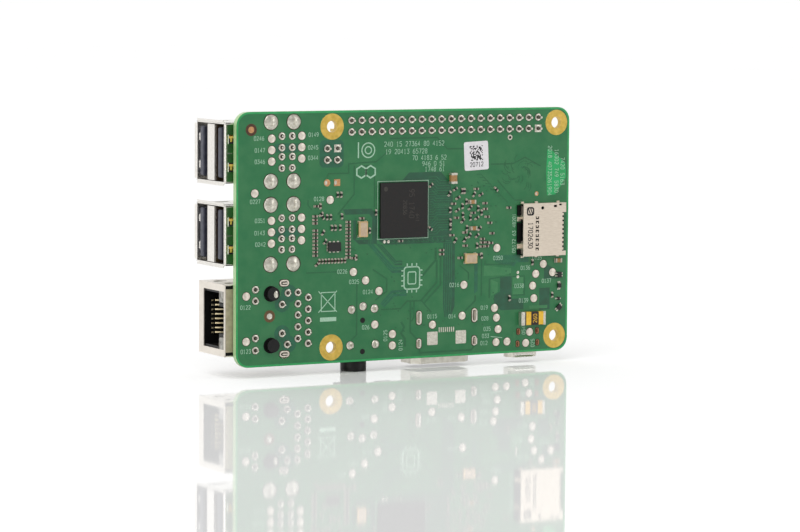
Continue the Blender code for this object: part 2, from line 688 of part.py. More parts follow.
def make_net_housing():
    """Moulded body with the plug cavity, latch groove, lamp pockets and two pegs."""
    half, floor, roof = net_inside()
    front = NET_MOUTH_X - NET_WALL - FIT_GAP
    housing = box(
        "network_housing",
        (front - NET_HOUSING_LENGTH, NET_CENTRE_Y - half, floor),
        (front, NET_CENTRE_Y + half, roof),
        "plastic_black",
    )
    cavity = NET_CAVITY_WIDTH / 2
    latch = NET_LATCH_WIDTH / 2
    cavity_back = front - NET_CAVITY_DEPTH
    cavity_roof = roof - NET_ROOF_THICKNESS
    cavity_floor = cavity_roof - NET_CAVITY_HEIGHT
    cavity_cut = (
        (cavity_back, NET_CENTRE_Y - cavity, cavity_floor),
        (front + CUT, NET_CENTRE_Y + cavity, cavity_roof),
    )
    cut_boxes(housing, [cavity_cut])
    groove = (
        (cavity_back + NET_LATCH_FROM_BACK, NET_CENTRE_Y - latch, floor + NET_LATCH_FROM_FLOOR),
        (front + CUT, NET_CENTRE_Y + latch, cavity_floor + SINK),
    )
    boolean(housing, boxes_helper("network_latch_groove", [groove]), "DIFFERENCE")
    pockets = []
    for side in (-1, 1):
        low, high = net_lamp_box(side, FIT_GAP)
        pockets.append((low, (high[0] + CUT, high[1], high[2])))
    boolean(housing, boxes_helper("network_lamp_pockets", pockets), "DIFFERENCE")
    low, high = net_carrier_box(FIT_GAP)
    slot = ((low[0], low[1], low[2] - SINK), high)
    boolean(housing, boxes_helper("network_carrier_slot", [slot]), "DIFFERENCE")
    length = floor + SINK + LEAD_STICK_OUT
    for number, (x, y) in enumerate(net_peg_places(), 1):
        outline = circle(NET_PEG_DIAMETER / 2, steps=16)
        mesh = extruded_mesh(f"network_peg_{number}", [outline], length)
        peg = helper(mesh.name, mesh, location=(x, y, length / 2 - LEAD_STICK_OUT))
        boolean(housing, peg, "UNION")
    return housing


def make_net_contacts():
    """The comb of eight spring wires on its moulded carrier."""
    low, high = net_carrier_box(0.0)
    carrier = box("network_contacts", low, high, "pin_gold")
    bm = bmesh.new()
    x = high[0] - SINK - NET_WIRE_LENGTH / 2 * math.cos(NET_WIRE_SLOPE)
    z = low[2] + NET_WIRE / 2 - NET_WIRE_LENGTH / 2 * math.sin(NET_WIRE_SLOPE)
    for i in range(NET_CONTACTS):
        y = NET_CENTRE_Y + (i - (NET_CONTACTS - 1) / 2) * NET_CONTACT_PITCH
        add_box(bm, (NET_WIRE_LENGTH, NET_WIRE, NET_WIRE), (x, y, z), -NET_WIRE_SLOPE)
    wires = helper("network_contact_wires", mesh_of("network_contact_wires", bm))
    return boolean(carrier, wires, "UNION")


def make_net_socket():
    make_net_shield()
    make_net_housing()
    make_net_contacts()
    half, floor, roof = net_inside()
    back = NET_MOUTH_X - NET_LENGTH + NET_WALL + FIT_GAP
    front = NET_MOUTH_X - NET_WALL - FIT_GAP - NET_HOUSING_LENGTH - FIT_GAP
    box(
        "network_transformer",
        (back, NET_CENTRE_Y - half, floor),
        (front, NET_CENTRE_Y + half, roof),
        "plastic_black",
    )
    for name, side, material in (("link_lamp", 1, "led_green"), ("activity_lamp", -1, "led_amber")):
        low, high = net_lamp_box(side, 0.0)
        box("network_" + name, low, high, material, NET_LAMP_BEVEL)


def make_hdmi_socket():
    """Folded steel shell with two cut corners and four legs, and the insulator with its tongue."""
    stand_up = (math.radians(90.0), 0.0, 0.0)
    centre_z = SEAT_Z + HDMI_HEIGHT / 2
    centre_y = HDMI_LENGTH / 2 - HDMI_OVERHANG
    outer = chamfered_outline(HDMI_WIDTH, HDMI_HEIGHT, HDMI_CHAMFER)
    inner_width = HDMI_WIDTH - 2 * HDMI_WALL
    inner_height = HDMI_HEIGHT - 2 * HDMI_WALL
    inner = chamfered_outline(inner_width, inner_height, HDMI_CHAMFER)
    centre = (HDMI_CENTRE_X, centre_y, centre_z)
    shell = extruded("hdmi_shell", [outer, inner], HDMI_LENGTH, centre, "steel_bright", stand_up)
    legs = []
    for side in (-1, 1):
        edge = HDMI_CENTRE_X + side * HDMI_WIDTH / 2
        wall = sorted((edge, edge - side * HDMI_WALL))
        for y, length in HDMI_LEGS:
            legs.append(((wall[0], y - length / 2, -LEAD_STICK_OUT), (wall[1], y + length / 2, centre_z)))
    join_boxes(shell, legs)
    reach = HDMI_LENGTH - HDMI_OVERHANG
    half = inner_width / 2 - FIT_GAP
    block_back = reach - HDMI_BLOCK_FROM_BACK
    roof = SEAT_Z + HDMI_HEIGHT - HDMI_WALL
    block_low = (
        HDMI_CENTRE_X - half,
        block_back - HDMI_BLOCK_LENGTH,
        SEAT_Z + HDMI_CHAMFER + HDMI_WALL,
    )
    block_high = (HDMI_CENTRE_X + half, block_back, roof - FIT_GAP)
    insulator = box("hdmi_insulator", block_low, block_high, "plastic_black")
    tongue_half = inner_width / 2 - HDMI_TONGUE_SIDE_GAP
    tongue_z = roof - HDMI_TONGUE_THICKNESS
    tongue = (
        (
            HDMI_CENTRE_X - tongue_half,
            HDMI_TONGUE_RECESS - HDMI_OVERHANG,
            tongue_z - HDMI_TONGUE_THICKNESS,
        ),
        (HDMI_CENTRE_X + tongue_half, block_low[1] + SINK, tongue_z),
    )
    return join_boxes(insulator, [tongue])


def make_power_socket():
    """The small USB socket that powers the board: shell, four legs and tongue."""
    stand_up = (math.radians(90.0), 0.0, 0.0)
    centre_z = SEAT_Z + POWER_HEIGHT / 2
    centre_y = POWER_LENGTH / 2 - POWER_OVERHANG
    outer = chamfered_outline(POWER_WIDTH, POWER_HEIGHT, POWER_CHAMFER)
    inner_width = POWER_WIDTH - 2 * POWER_WALL
    inner_height = POWER_HEIGHT - 2 * POWER_WALL
    inner = chamfered_outline(inner_width, inner_height, POWER_CHAMFER)
    centre = (POWER_CENTRE_X, centre_y, centre_z)
    shell = extruded(
        "power_socket_shell", [outer, inner], POWER_LENGTH, centre, "steel_bright", stand_up
    )
    legs = []
    for side in (-1, 1):
        edge = POWER_CENTRE_X + side * POWER_WIDTH / 2
        wall = sorted((edge, edge - side * POWER_WALL))
        for y in POWER_LEGS_Y:
            half = POWER_WALL * 1.5
            leg_low = (wall[0], y - half, -LEAD_STICK_OUT / 2)
            legs.append((leg_low, (wall[1], y + half, centre_z)))
    join_boxes(shell, legs)
    reach = POWER_LENGTH - POWER_OVERHANG
    half = inner_width / 2 - FIT_GAP
    block_back = reach - POWER_BLOCK_FROM_BACK
    roof = SEAT_Z + POWER_HEIGHT - POWER_WALL
    low = (
        POWER_CENTRE_X - half,
        block_back - POWER_BLOCK_LENGTH,
        SEAT_Z + POWER_CHAMFER + POWER_WALL,
    )
    high = (POWER_CENTRE_X + half, block_back, roof - FIT_GAP)
    insulator = box("power_socket_insulator", low, high, "plastic_black")
    tongue_z = roof - POWER_TONGUE_FROM_ROOF
    tongue_half = POWER_TONGUE_WIDTH / 2
    tongue_front = POWER_TONGUE_THICKNESS - POWER_OVERHANG
    tongue = (
        (POWER_CENTRE_X - tongue_half, tongue_front, tongue_z - POWER_TONGUE_THICKNESS),
        (POWER_CENTRE_X + tongue_half, low[1] + SINK, tongue_z),
    )
    return join_boxes(insulator, [tongue])


def make_audio_body():
    """Moulded jack body with its round nose, the plug bore and pockets for the side contacts."""
    half = AUDIO_WIDTH / 2
    low = (AUDIO_CENTRE_X - half, AUDIO_START_Y, SEAT_Z)
    high = (AUDIO_CENTRE_X + half, AUDIO_START_Y + AUDIO_LENGTH, SEAT_Z + AUDIO_HEIGHT)
    body = box("audio_jack_body", low, high, "plastic_black")
    axis_z = SEAT_Z + AUDIO_HEIGHT / 2
    along_y = (math.radians(90.0), 0.0, 0.0)
    nose_length = AUDIO_OVERHANG + AUDIO_START_Y + CUT
    nose = helper(
        "audio_nose",
        extruded_mesh("audio_nose", [circle(AUDIO_NOSE_DIAMETER / 2, steps=28)], nose_length),
        along_y,
        (AUDIO_CENTRE_X, nose_length / 2 - AUDIO_OVERHANG, axis_z),
    )
    boolean(body, nose, "UNION")
    bore_length = AUDIO_OVERHANG + AUDIO_START_Y + AUDIO_LENGTH + 2 * CUT
    bore = helper(
        "audio_bore",
        extruded_mesh("audio_bore", [circle(AUDIO_BORE / 2, steps=20)], bore_length),
        along_y,
        (AUDIO_CENTRE_X, bore_length / 2 - AUDIO_OVERHANG - CUT, axis_z),
    )
    boolean(body, bore, "DIFFERENCE")
    pockets = []
    for x, y in audio_contact_places():
        side = 1 if x > AUDIO_CENTRE_X else -1
        xs = sorted((x - side * (AUDIO_LEAF / 2 + FIT_GAP), x + side * 2 * CUT))
        half_y = AUDIO_LEAF_WIDTH / 2 + FIT_GAP
        pocket_top = SEAT_Z + AUDIO_LEAF_HEIGHT + 2 * FIT_GAP
        pockets.append(((xs[0], y - half_y, SEAT_Z - CUT), (xs[1], y + half_y, pocket_top)))
    return cut_boxes(body, pockets)


def make_audio_contacts():
    """Flat spring contacts in the jack's side pockets, each ending in a pin through the board."""
    for number, (x, y) in enumerate(audio_contact_places(), 1):
        low = (x - AUDIO_LEAF / 2, y - AUDIO_LEAF_WIDTH / 2, SEAT_Z)
        high = (x + AUDIO_LEAF / 2, y + AUDIO_LEAF_WIDTH / 2, SEAT_Z + AUDIO_LEAF_HEIGHT)
        leaf = box(f"audio_contact_{number}", low, high, "pin_gold")
        pin = (
            (x - AUDIO_LEAF / 2, y - AUDIO_PIN_WIDTH / 2, -LEAD_STICK_OUT),
            (x + AUDIO_LEAF / 2, y + AUDIO_PIN_WIDTH / 2, SEAT_Z + CUT),
        )
        join_boxes(leaf, [pin])


def make_flex_connector(name, centre):
    """Flat-cable connector: a slotted housing, and a latch that pulls up to free the cable."""
    x, y = centre
    top = SEAT_Z + FLEX_HEIGHT
    half_x = FLEX_WIDTH / 2
    half_y = FLEX_LENGTH / 2
    housing = box(
        f"{name}_connector_housing",
        (x - half_x, y - half_y, SEAT_Z),
        (x + half_x, y + half_y, top),
        "plastic_cream",
    )
    slot_x = FLEX_SLOT_WIDTH / 2
    slot_y = FLEX_SLOT_LENGTH / 2
    slot_floor = top - FLEX_SLOT_DEPTH
    cut_boxes(housing, [((x - slot_x, y - slot_y, slot_floor), (x + slot_x, y + slot_y, top + CUT))])
    floor = top + FIT_GAP
    arm_in = half_y + FIT_GAP
    arm_out = arm_in + LATCH_ARM
    bm = bmesh.new()
    add_box(bm, *span((-half_x, -arm_out, 0.0), (half_x, arm_out, LATCH_THICKNESS)))
    latch_name = f"{name}_connector_latch"
    latch = finish(place(latch_name, mesh_of(latch_name, bm), (x, y, floor)), "latch_brown")
    wedge_high_x = x + slot_x - FIT_GAP
    wedge_low_x = wedge_high_x - LATCH_WEDGE
    wedge_y = slot_y - FIT_GAP
    additions = [
        ((wedge_low_x, y - wedge_y, slot_floor + CUT), (wedge_high_x, y + wedge_y, floor + SINK))
    ]
    arm_x = half_x * LATCH_ARM_SHARE
    for side in (-1, 1):
        ys = sorted((y + side * arm_in, y + side * arm_out))
        arm_low = (x - arm_x, ys[0], floor - LATCH_ARM_DROP)
        additions.append((arm_low, (x + arm_x, ys[1], floor + SINK)))
    join_boxes(latch, additions)
    entry = (
        (x - slot_x, y - wedge_y, floor - CUT),
        (wedge_low_x - FIT_GAP, y + wedge_y, floor + LATCH_THICKNESS + CUT),
    )
    cut_boxes(latch, [entry])


def make_card_socket():
    """Memory-card socket under the board: a steel cover open at the card edge, over a moulded base."""
    half_x = CARD_LENGTH / 2
    half_y = CARD_WIDTH / 2
    low_z = -SEAT_GAP - CARD_HEIGHT
    cover = box(
        "card_socket_cover",
        (CARD_CENTRE_X - half_x, CARD_CENTRE_Y - half_y, low_z),
        (CARD_CENTRE_X + half_x, CARD_CENTRE_Y + half_y, -SEAT_GAP),
        "steel_warm",
    )
    hollow = (
        (CARD_CENTRE_X - half_x - CUT, CARD_CENTRE_Y - half_y + CARD_WALL, low_z + CARD_WALL),
        (CARD_CENTRE_X + half_x - CARD_WALL, CARD_CENTRE_Y + half_y - CARD_WALL, CUT),
    )
    cut_boxes(cover, [hollow])
    inner_y = half_y - CARD_WALL - FIT_GAP
    box(
        "card_socket_base",
        (CARD_CENTRE_X - half_x, CARD_CENTRE_Y - inner_y, -SEAT_GAP - CARD_BASE),
        (CARD_CENTRE_X + half_x - CARD_WALL - FIT_GAP, CARD_CENTRE_Y + inner_y, -SEAT_GAP),
        "plastic_black",
    )


def make_processor():
    """Package base, bare die and the steel lid that covers it."""
    x, y = PROCESSOR_CENTRE
    half = PROCESSOR_SIDE / 2
    base_top = SEAT_Z + PROCESSOR_BASE
    box(
        "processor_base",
        (x - half, y - half, SEAT_Z),
        (x + half, y + half, base_top),
        "board_green",
    )
    die = PROCESSOR_DIE_SIDE / 2
    die_floor = base_top + FIT_GAP
    die_top = die_floor + PROCESSOR_DIE_HEIGHT
    box("processor_die", (x - die, y - die, die_floor), (x + die, y + die, die_top), "silicon")
    lid = PROCESSOR_LID_SIDE / 2
    lid_top = die_floor + PROCESSOR_LID_HEIGHT
    cover = box(
        "processor_lid",
        (x - lid, y - lid, die_floor),
        (x + lid, y + lid, lid_top),
        "steel_bright",
        LID_BEVEL,
    )
    inner = lid - PROCESSOR_LID_RIM
    hollow = (
        (x - inner, y - inner, die_floor - CUT),
        (x + inner, y + inner, lid_top - PROCESSOR_LID_WALL),
    )
    return cut_boxes(cover, [hollow])


def make_wireless_module():
    """Pressed steel can over the radio chip."""
    x, y = SHIELD_CENTRE
    half_x, half_y = SHIELD_LENGTH / 2, SHIELD_WIDTH / 2
    top = SEAT_Z + SHIELD_HEIGHT
    can = box(
        "wireless_shield",
        (x - half_x, y - half_y, SEAT_Z),
        (x + half_x, y + half_y, top),
        "steel_bright",
        LID_BEVEL,
    )
    inner_x, inner_y = half_x - SHIELD_WALL, half_y - SHIELD_WALL
    hollow = (
        (x - inner_x, y - inner_y, SEAT_Z - CUT),
        (x + inner_x, y + inner_y, top - SHIELD_WALL),
    )
    cut_boxes(can, [hollow])
    chip = WIRELESS_CHIP_SIDE / 2
    chip_top = SEAT_Z + WIRELESS_CHIP_HEIGHT
    box("wireless_chip", (x - chip, y - chip, SEAT_Z), (x + chip, y + chip, chip_top), "chip_black")


def make_blocks():
    """Chips, inductors, crystals, lamps and capacitors that are each one moulded or ceramic block."""
    for name, (x, y, length, width, height, bevel, material) in TOP_BLOCKS.items():
        low = ((x - length / 2) * MM, (y - width / 2) * MM, SEAT_Z)
        high = ((x + length / 2) * MM, (y + width / 2) * MM, SEAT_Z + height * MM)
        box(name, low, high, material, bevel * MM)
    for name, (x, y, length, width, height, bevel, material) in UNDERSIDE_BLOCKS.items():
        low = ((x - length / 2) * MM, (y - width / 2) * MM, -SEAT_GAP - height * MM)
        high = ((x + length / 2) * MM, (y + width / 2) * MM, -SEAT_GAP)
        box(name, low, high, material, bevel * MM)


def stand_the_drawing_up():
    """Turns the drawing frame upright, with the bottom centre of the whole object's box at the origin."""
    deepest = -HEADER_TAIL
    highest = SEAT_Z + USB_HEIGHT + USB_LIP
    board_frame.rotation_euler = (math.radians(90.0), 0.0, math.radians(180.0))
    board_frame.location = (USB_MOUTH_X / 2, -(deepest + highest) / 2, AUDIO_OVERHANG)


clear_scene()
part_collection = new_collection("single_board_computer", True)
helper_collection = new_collection("cutters", False)
make_materials()
board_frame = bpy.data.objects.new("board_frame", None)
part_collection.objects.link(board_frame)

make_board()
make_header("gpio_header", HEADER_CENTRE, HEADER_COLUMNS)
make_header("power_header", POWER_HEADER_CENTRE, 2)
for stack_number, stack_centre in enumerate(USB_CENTRES_Y, 1):
    make_usb_shell(stack_number, stack_centre)
    make_usb_divider(stack_number, stack_centre)
    make_usb_insulator(stack_number, stack_centre)
make_net_socket()
make_hdmi_socket()
make_power_socket()
make_audio_body()
make_audio_contacts()
for connector, connector_centre in FLEX_CENTRES.items():
    make_flex_connector(connector, connector_centre)
make_card_socket()
make_processor()
make_wireless_module()
make_blocks()
stand_the_drawing_up()
bpy.context.view_layer.update()
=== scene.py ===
import math
import random

import bmesh
import bpy
from mathutils import Matrix, Vector


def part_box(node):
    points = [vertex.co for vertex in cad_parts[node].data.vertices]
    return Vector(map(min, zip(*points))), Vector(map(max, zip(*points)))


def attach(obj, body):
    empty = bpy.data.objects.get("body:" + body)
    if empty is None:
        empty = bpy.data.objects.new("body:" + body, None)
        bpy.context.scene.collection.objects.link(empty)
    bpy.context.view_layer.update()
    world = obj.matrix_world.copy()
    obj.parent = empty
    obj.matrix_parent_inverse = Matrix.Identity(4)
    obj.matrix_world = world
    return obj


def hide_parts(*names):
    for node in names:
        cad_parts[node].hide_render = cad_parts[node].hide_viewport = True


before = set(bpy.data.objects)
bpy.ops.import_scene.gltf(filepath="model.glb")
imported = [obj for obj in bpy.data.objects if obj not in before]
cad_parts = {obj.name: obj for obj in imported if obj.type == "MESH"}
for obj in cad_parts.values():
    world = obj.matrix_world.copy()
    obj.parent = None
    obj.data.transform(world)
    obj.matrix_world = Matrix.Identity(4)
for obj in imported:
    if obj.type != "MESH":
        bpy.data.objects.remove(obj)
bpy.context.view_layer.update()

mm = 0.001
copperHeight = 0.04
sunk = -0.01                # how far flat pieces reach into the board
markFoot, markHead = 0.01, 0.008   # how far printed marks reach into and out of a face
boardLow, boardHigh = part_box("circuit_board")
boardLength = (boardHigh.x - boardLow.x) / mm
boardWidth = (boardHigh.z - boardLow.z) / mm
boardCorner = 3.0
standUp = Matrix.Rotation(math.pi / 2, 4, "X")
turnRound = Matrix.Rotation(math.pi, 4, "Z")
underFace = Vector((boardLow.x, boardLow.y + copperHeight * mm, boardLow.z))
topFace = Vector((boardHigh.x, boardHigh.y - copperHeight * mm, boardLow.z))
under = Matrix.Translation(underFace) @ standUp
top = Matrix.Translation(topFace) @ turnRound @ standUp
print("frame loaded:", len(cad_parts), "nodes")


def localBox(node, place):  # a node's lowest and highest corners in a local frame
    back = place.inverted()
    corners = [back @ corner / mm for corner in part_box(node)]
    low = Vector([min(a, b) for a, b in zip(*corners)])
    high = Vector([max(a, b) for a, b in zip(*corners)])
    return low, high


def lay(a, b, t, along):  # outline point (a, b) at t along the extrusion
    return {"h": (a, b, t), "y": (a, t, b), "x": (t, a, b)}[along]


def addPrism(mesh, outline, low, high, along="h"):
    ends = [[mesh.verts.new(lay(a, b, t, along)) for a, b in outline] for t in (low, high)]
    mesh.faces.new(ends[0][::-1])
    mesh.faces.new(ends[1])
    for i in range(len(outline)):
        j = (i + 1) % len(outline)
        mesh.faces.new((ends[0][i], ends[0][j], ends[1][j], ends[1][i]))


def box2(low, high):  # a rectangle between two corners
    return [(low[0], low[1]), (high[0], low[1]), (high[0], high[1]), (low[0], high[1])]


def addBox(mesh, low, high):
    addPrism(mesh, box2(low, high), low[2], high[2])


def middleOf(low, high):
    return (low.x + high.x) / 2, (low.y + high.y) / 2


def turned(points, centre, angle):
    c, s = math.cos(math.radians(angle)), math.sin(math.radians(angle))
    return [(centre[0] + a * c - b * s, centre[1] + a * s + b * c) for a, b in points]


def rectangle(width, height, radius=0.0, steps=5):
    if not radius:
        return [(width * a / 2, height * b / 2) for a, b in ((1, 1), (-1, 1), (-1, -1), (1, -1))]
    points = []
    for quarter, (a, b) in enumerate(((1, 1), (-1, 1), (-1, -1), (1, -1))):
        for i in range(steps + 1):
            t = math.pi / 2 * (quarter + i / steps)
            points.append((a * (width / 2 - radius) + radius * math.cos(t),
                           b * (height / 2 - radius) + radius * math.sin(t)))
    return points


def addTile(mesh, centre, shape, low, high, angle=0):  # shape is width, height, corner and steps
    addPrism(mesh, turned(rectangle(*shape), centre, angle), low, high)


def disc(radius, high, low=0):  # a profile for addTurned
    return [(0, low), (radius, low), (radius, high), (0, high)]


def arc(centre, radius, start, end, steps=16):
    turns = [math.radians(start + (end - start) * i / steps) for i in range(steps + 1)]
    return [(centre[0] + radius * math.cos(t), centre[1] + radius * math.sin(t)) for t in turns]


def addTurned(mesh, centre, profile, steps=20, stretch=(1.0, 1.0), loop=False, wobble=None):
    rings = []
    for radius, height in profile:
        count = steps if radius else 1
        ring = []
        for i in range(count):
            t = 2 * math.pi * i / steps
            r = radius * (1 + wobble.uniform(-0.05, 0.05)) if wobble else radius
            ring.append(mesh.verts.new((centre[0] + r * math.cos(t) * stretch[0],
                                        centre[1] + r * math.sin(t) * stretch[1], height)))
        rings.append(ring)
    for low, high in zip(rings, rings[1:] + (rings[:1] if loop else [])):
        for i in range(steps):
            j = (i + 1) % steps
            corners = [low[i % len(low)], low[j % len(low)], high[j % len(high)], high[i % len(high)]]
            mesh.faces.new(list(dict.fromkeys(corners)))
    if not loop:
        for ring in (rings[0], rings[-1]):
            if len(ring) > 1:
                mesh.faces.new(ring)


def ribbonOutline(points, width, closed=False):
    half = width / 2
    sides = ([], [])
    count = len(points)
    for i, point in enumerate(points):
        here = Vector(point)
        before = Vector(points[i - 1]) if i or closed else None
        after = Vector(points[(i + 1) % count]) if i < count - 1 or closed else None
        into = (here - before).normalized() if before else (after - here).normalized()
        out = (after - here).normalized() if after else into
        bisector = into + out
        bisector = bisector.normalized() if bisector.length > 0.2 else into
        normal = Vector((-bisector.y, bisector.x))
        reach = half / max(0.55, bisector.dot(into))
        sides[0].append(tuple(here + normal * reach))
        sides[1].append(tuple(here - normal * reach))
    return sides


def addRibbon(mesh, points, width, low, high, along="h", closed=False):
    left, right = ribbonOutline(points, width, closed)
    count = len(points)
    rows = [[mesh.verts.new(lay(a, b, t, along)) for a, b in side] for side in (left, right)
            for t in (low, high)]
    around = (rows[0], rows[1], rows[3], rows[2])
    for i in range(count if closed else count - 1):
        j = (i + 1) % count
        for k in range(4):
            m = (k + 1) % 4
            mesh.faces.new((around[k][i], around[k][j], around[m][j], around[m][i]))
    if not closed:
        mesh.faces.new([row[0] for row in around])
        mesh.faces.new([row[-1] for row in around][::-1])


def addPlate(mesh, outline, holes, low, high, along="h"):  # a flat outline with holes, given thickness
    curve = bpy.data.curves.new("plateOutline", "CURVE")
    curve.dimensions = "2D"
    curve.fill_mode = "BOTH"
    curve.extrude = (high - low) / 2
    for loop in (outline, *holes):
        spline = curve.splines.new("POLY")
        spline.points.add(len(loop) - 1)
        for point, (a, b) in zip(spline.points, loop):
            point.co = (a, b, 0.0, 1.0)
        spline.use_cyclic_u = True
    source = bpy.data.objects.new("plateOutline", curve)
    bpy.context.scene.collection.objects.link(source)
    data = bpy.data.meshes.new_from_object(source.evaluated_get(bpy.context.evaluated_depsgraph_get()))
    bpy.data.objects.remove(source, do_unlink=True)
    bpy.data.curves.remove(curve)
    known = set(mesh.verts)
    mesh.from_mesh(data)
    bpy.data.meshes.remove(data)
    fresh = [vert for vert in mesh.verts if vert not in known]
    for vert in fresh:
        a, b, t = vert.co
        vert.co = lay(a, b, t + (low + high) / 2, along)
    bmesh.ops.remove_doubles(mesh, verts=fresh, dist=0.002)
    rest = [vert for vert in mesh.verts if vert not in known]
    bmesh.ops.dissolve_limit(mesh, angle_limit=math.radians(1), verts=rest,
                             edges=list({e for v in rest for e in v.link_edges}))


def addPin(mesh, centre, low, high, side, taper=0.35, share=0.45):
    half = side / 2
    rows = [(half, low), (half, high - taper), (half * share, high)]
    rings = [[mesh.verts.new((centre[0] + a * s, centre[1] + b * s, h))
              for a, b in ((1, 1), (-1, 1), (-1, -1), (1, -1))] for s, h in rows]
    mesh.faces.new(rings[0][::-1])
    mesh.faces.new(rings[-1])
    for lower, upper in zip(rings, rings[1:]):
        for i in range(4):
            j = (i + 1) % 4
            mesh.faces.new((lower[i], lower[j], upper[j], upper[i]))


def makePiece(name, mesh, place, look, nodes=(), bevel=0.0, body="root", bevelSteps=2):
    bmesh.ops.recalc_face_normals(mesh, faces=mesh.faces)
    bmesh.ops.scale(mesh, vec=(mm, mm, mm), verts=mesh.verts)
    for face in mesh.faces:
        face.smooth = True
    if not bevel:
        for edge in mesh.edges:
            edge.smooth = edge.calc_face_angle(0.0) < math.radians(32)
    data = bpy.data.meshes.new(name)
    mesh.to_mesh(data)
    mesh.free()
    piece = bpy.data.objects.new(name, data)
    bpy.context.scene.collection.objects.link(piece)
    piece.matrix_world = place
    data.materials.append(finish[look])
    if bevel:
        rounding = piece.modifiers.new("edgeRounding", "BEVEL")
        rounding.width = bevel * mm
        rounding.segments = bevelSteps
        rounding.limit_method = "ANGLE"
        rounding.angle_limit = math.radians(35)
        rounding.harden_normals = True
    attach(piece, body)
    if nodes:
        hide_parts(*nodes)
    return piece


def hexColour(text):
    parts = [int(text[i:i + 2], 16) / 255 for i in (0, 2, 4)]
    return (*[p / 12.92 if p < 0.04045 else ((p + 0.055) / 1.055) ** 2.4 for p in parts], 1.0)


# Every finish: two colours that a fine grain mixes, its grain per millimetre, roughness and its spread,
# metal share, bump height in millimetres, bump grain, coat and the stretch of the grain along each axis
# Families of finishes share their grain, and each entry below says what it changes
maskLook = dict(grain=0.5, rough=0.42, spread=0.1, bump=0.004, bumpGrain=4.0, coat=0.1)
brownLook = dict(grain=1.5, rough=0.45, spread=0.12, bump=0.005, bumpGrain=5.0)
goldLook = dict(grain=0.9, rough=0.34, spread=0.12, metal=0.9, bump=0.006, bumpGrain=5.0)
solderLook = dict(grain=2.2, rough=0.3, spread=0.16, metal=0.8, bump=0.02, bumpGrain=3.5)
copperLook = dict(grain=1.8, rough=0.38, spread=0.12, metal=0.75, bump=0.01, bumpGrain=5.0)
sheetLook = dict(grain=0.8, rough=0.33, spread=0.07, metal=0.85, bump=0.006, bumpGrain=7.0)
mouldedLook = dict(grain=1.0, rough=0.45, spread=0.12, bump=0.008, bumpGrain=9.0)
epoxyLook = dict(grain=2.0, rough=0.5, spread=0.15, bump=0.012, bumpGrain=14.0)
canLook = dict(grain=1.0, rough=0.35, spread=0.1, metal=0.5, bump=0.006, bumpGrain=8.0)
ceramicLook = dict(grain=2.0, rough=0.42, spread=0.12, bump=0.008, bumpGrain=8.0)
printLook = dict(grain=4.0, rough=0.6, spread=0.1, bump=0.004, bumpGrain=12.0)
lampLook = dict(grain=1.5, rough=0.25, spread=0.08, bump=0.004, bumpGrain=8.0, coat=0.4)
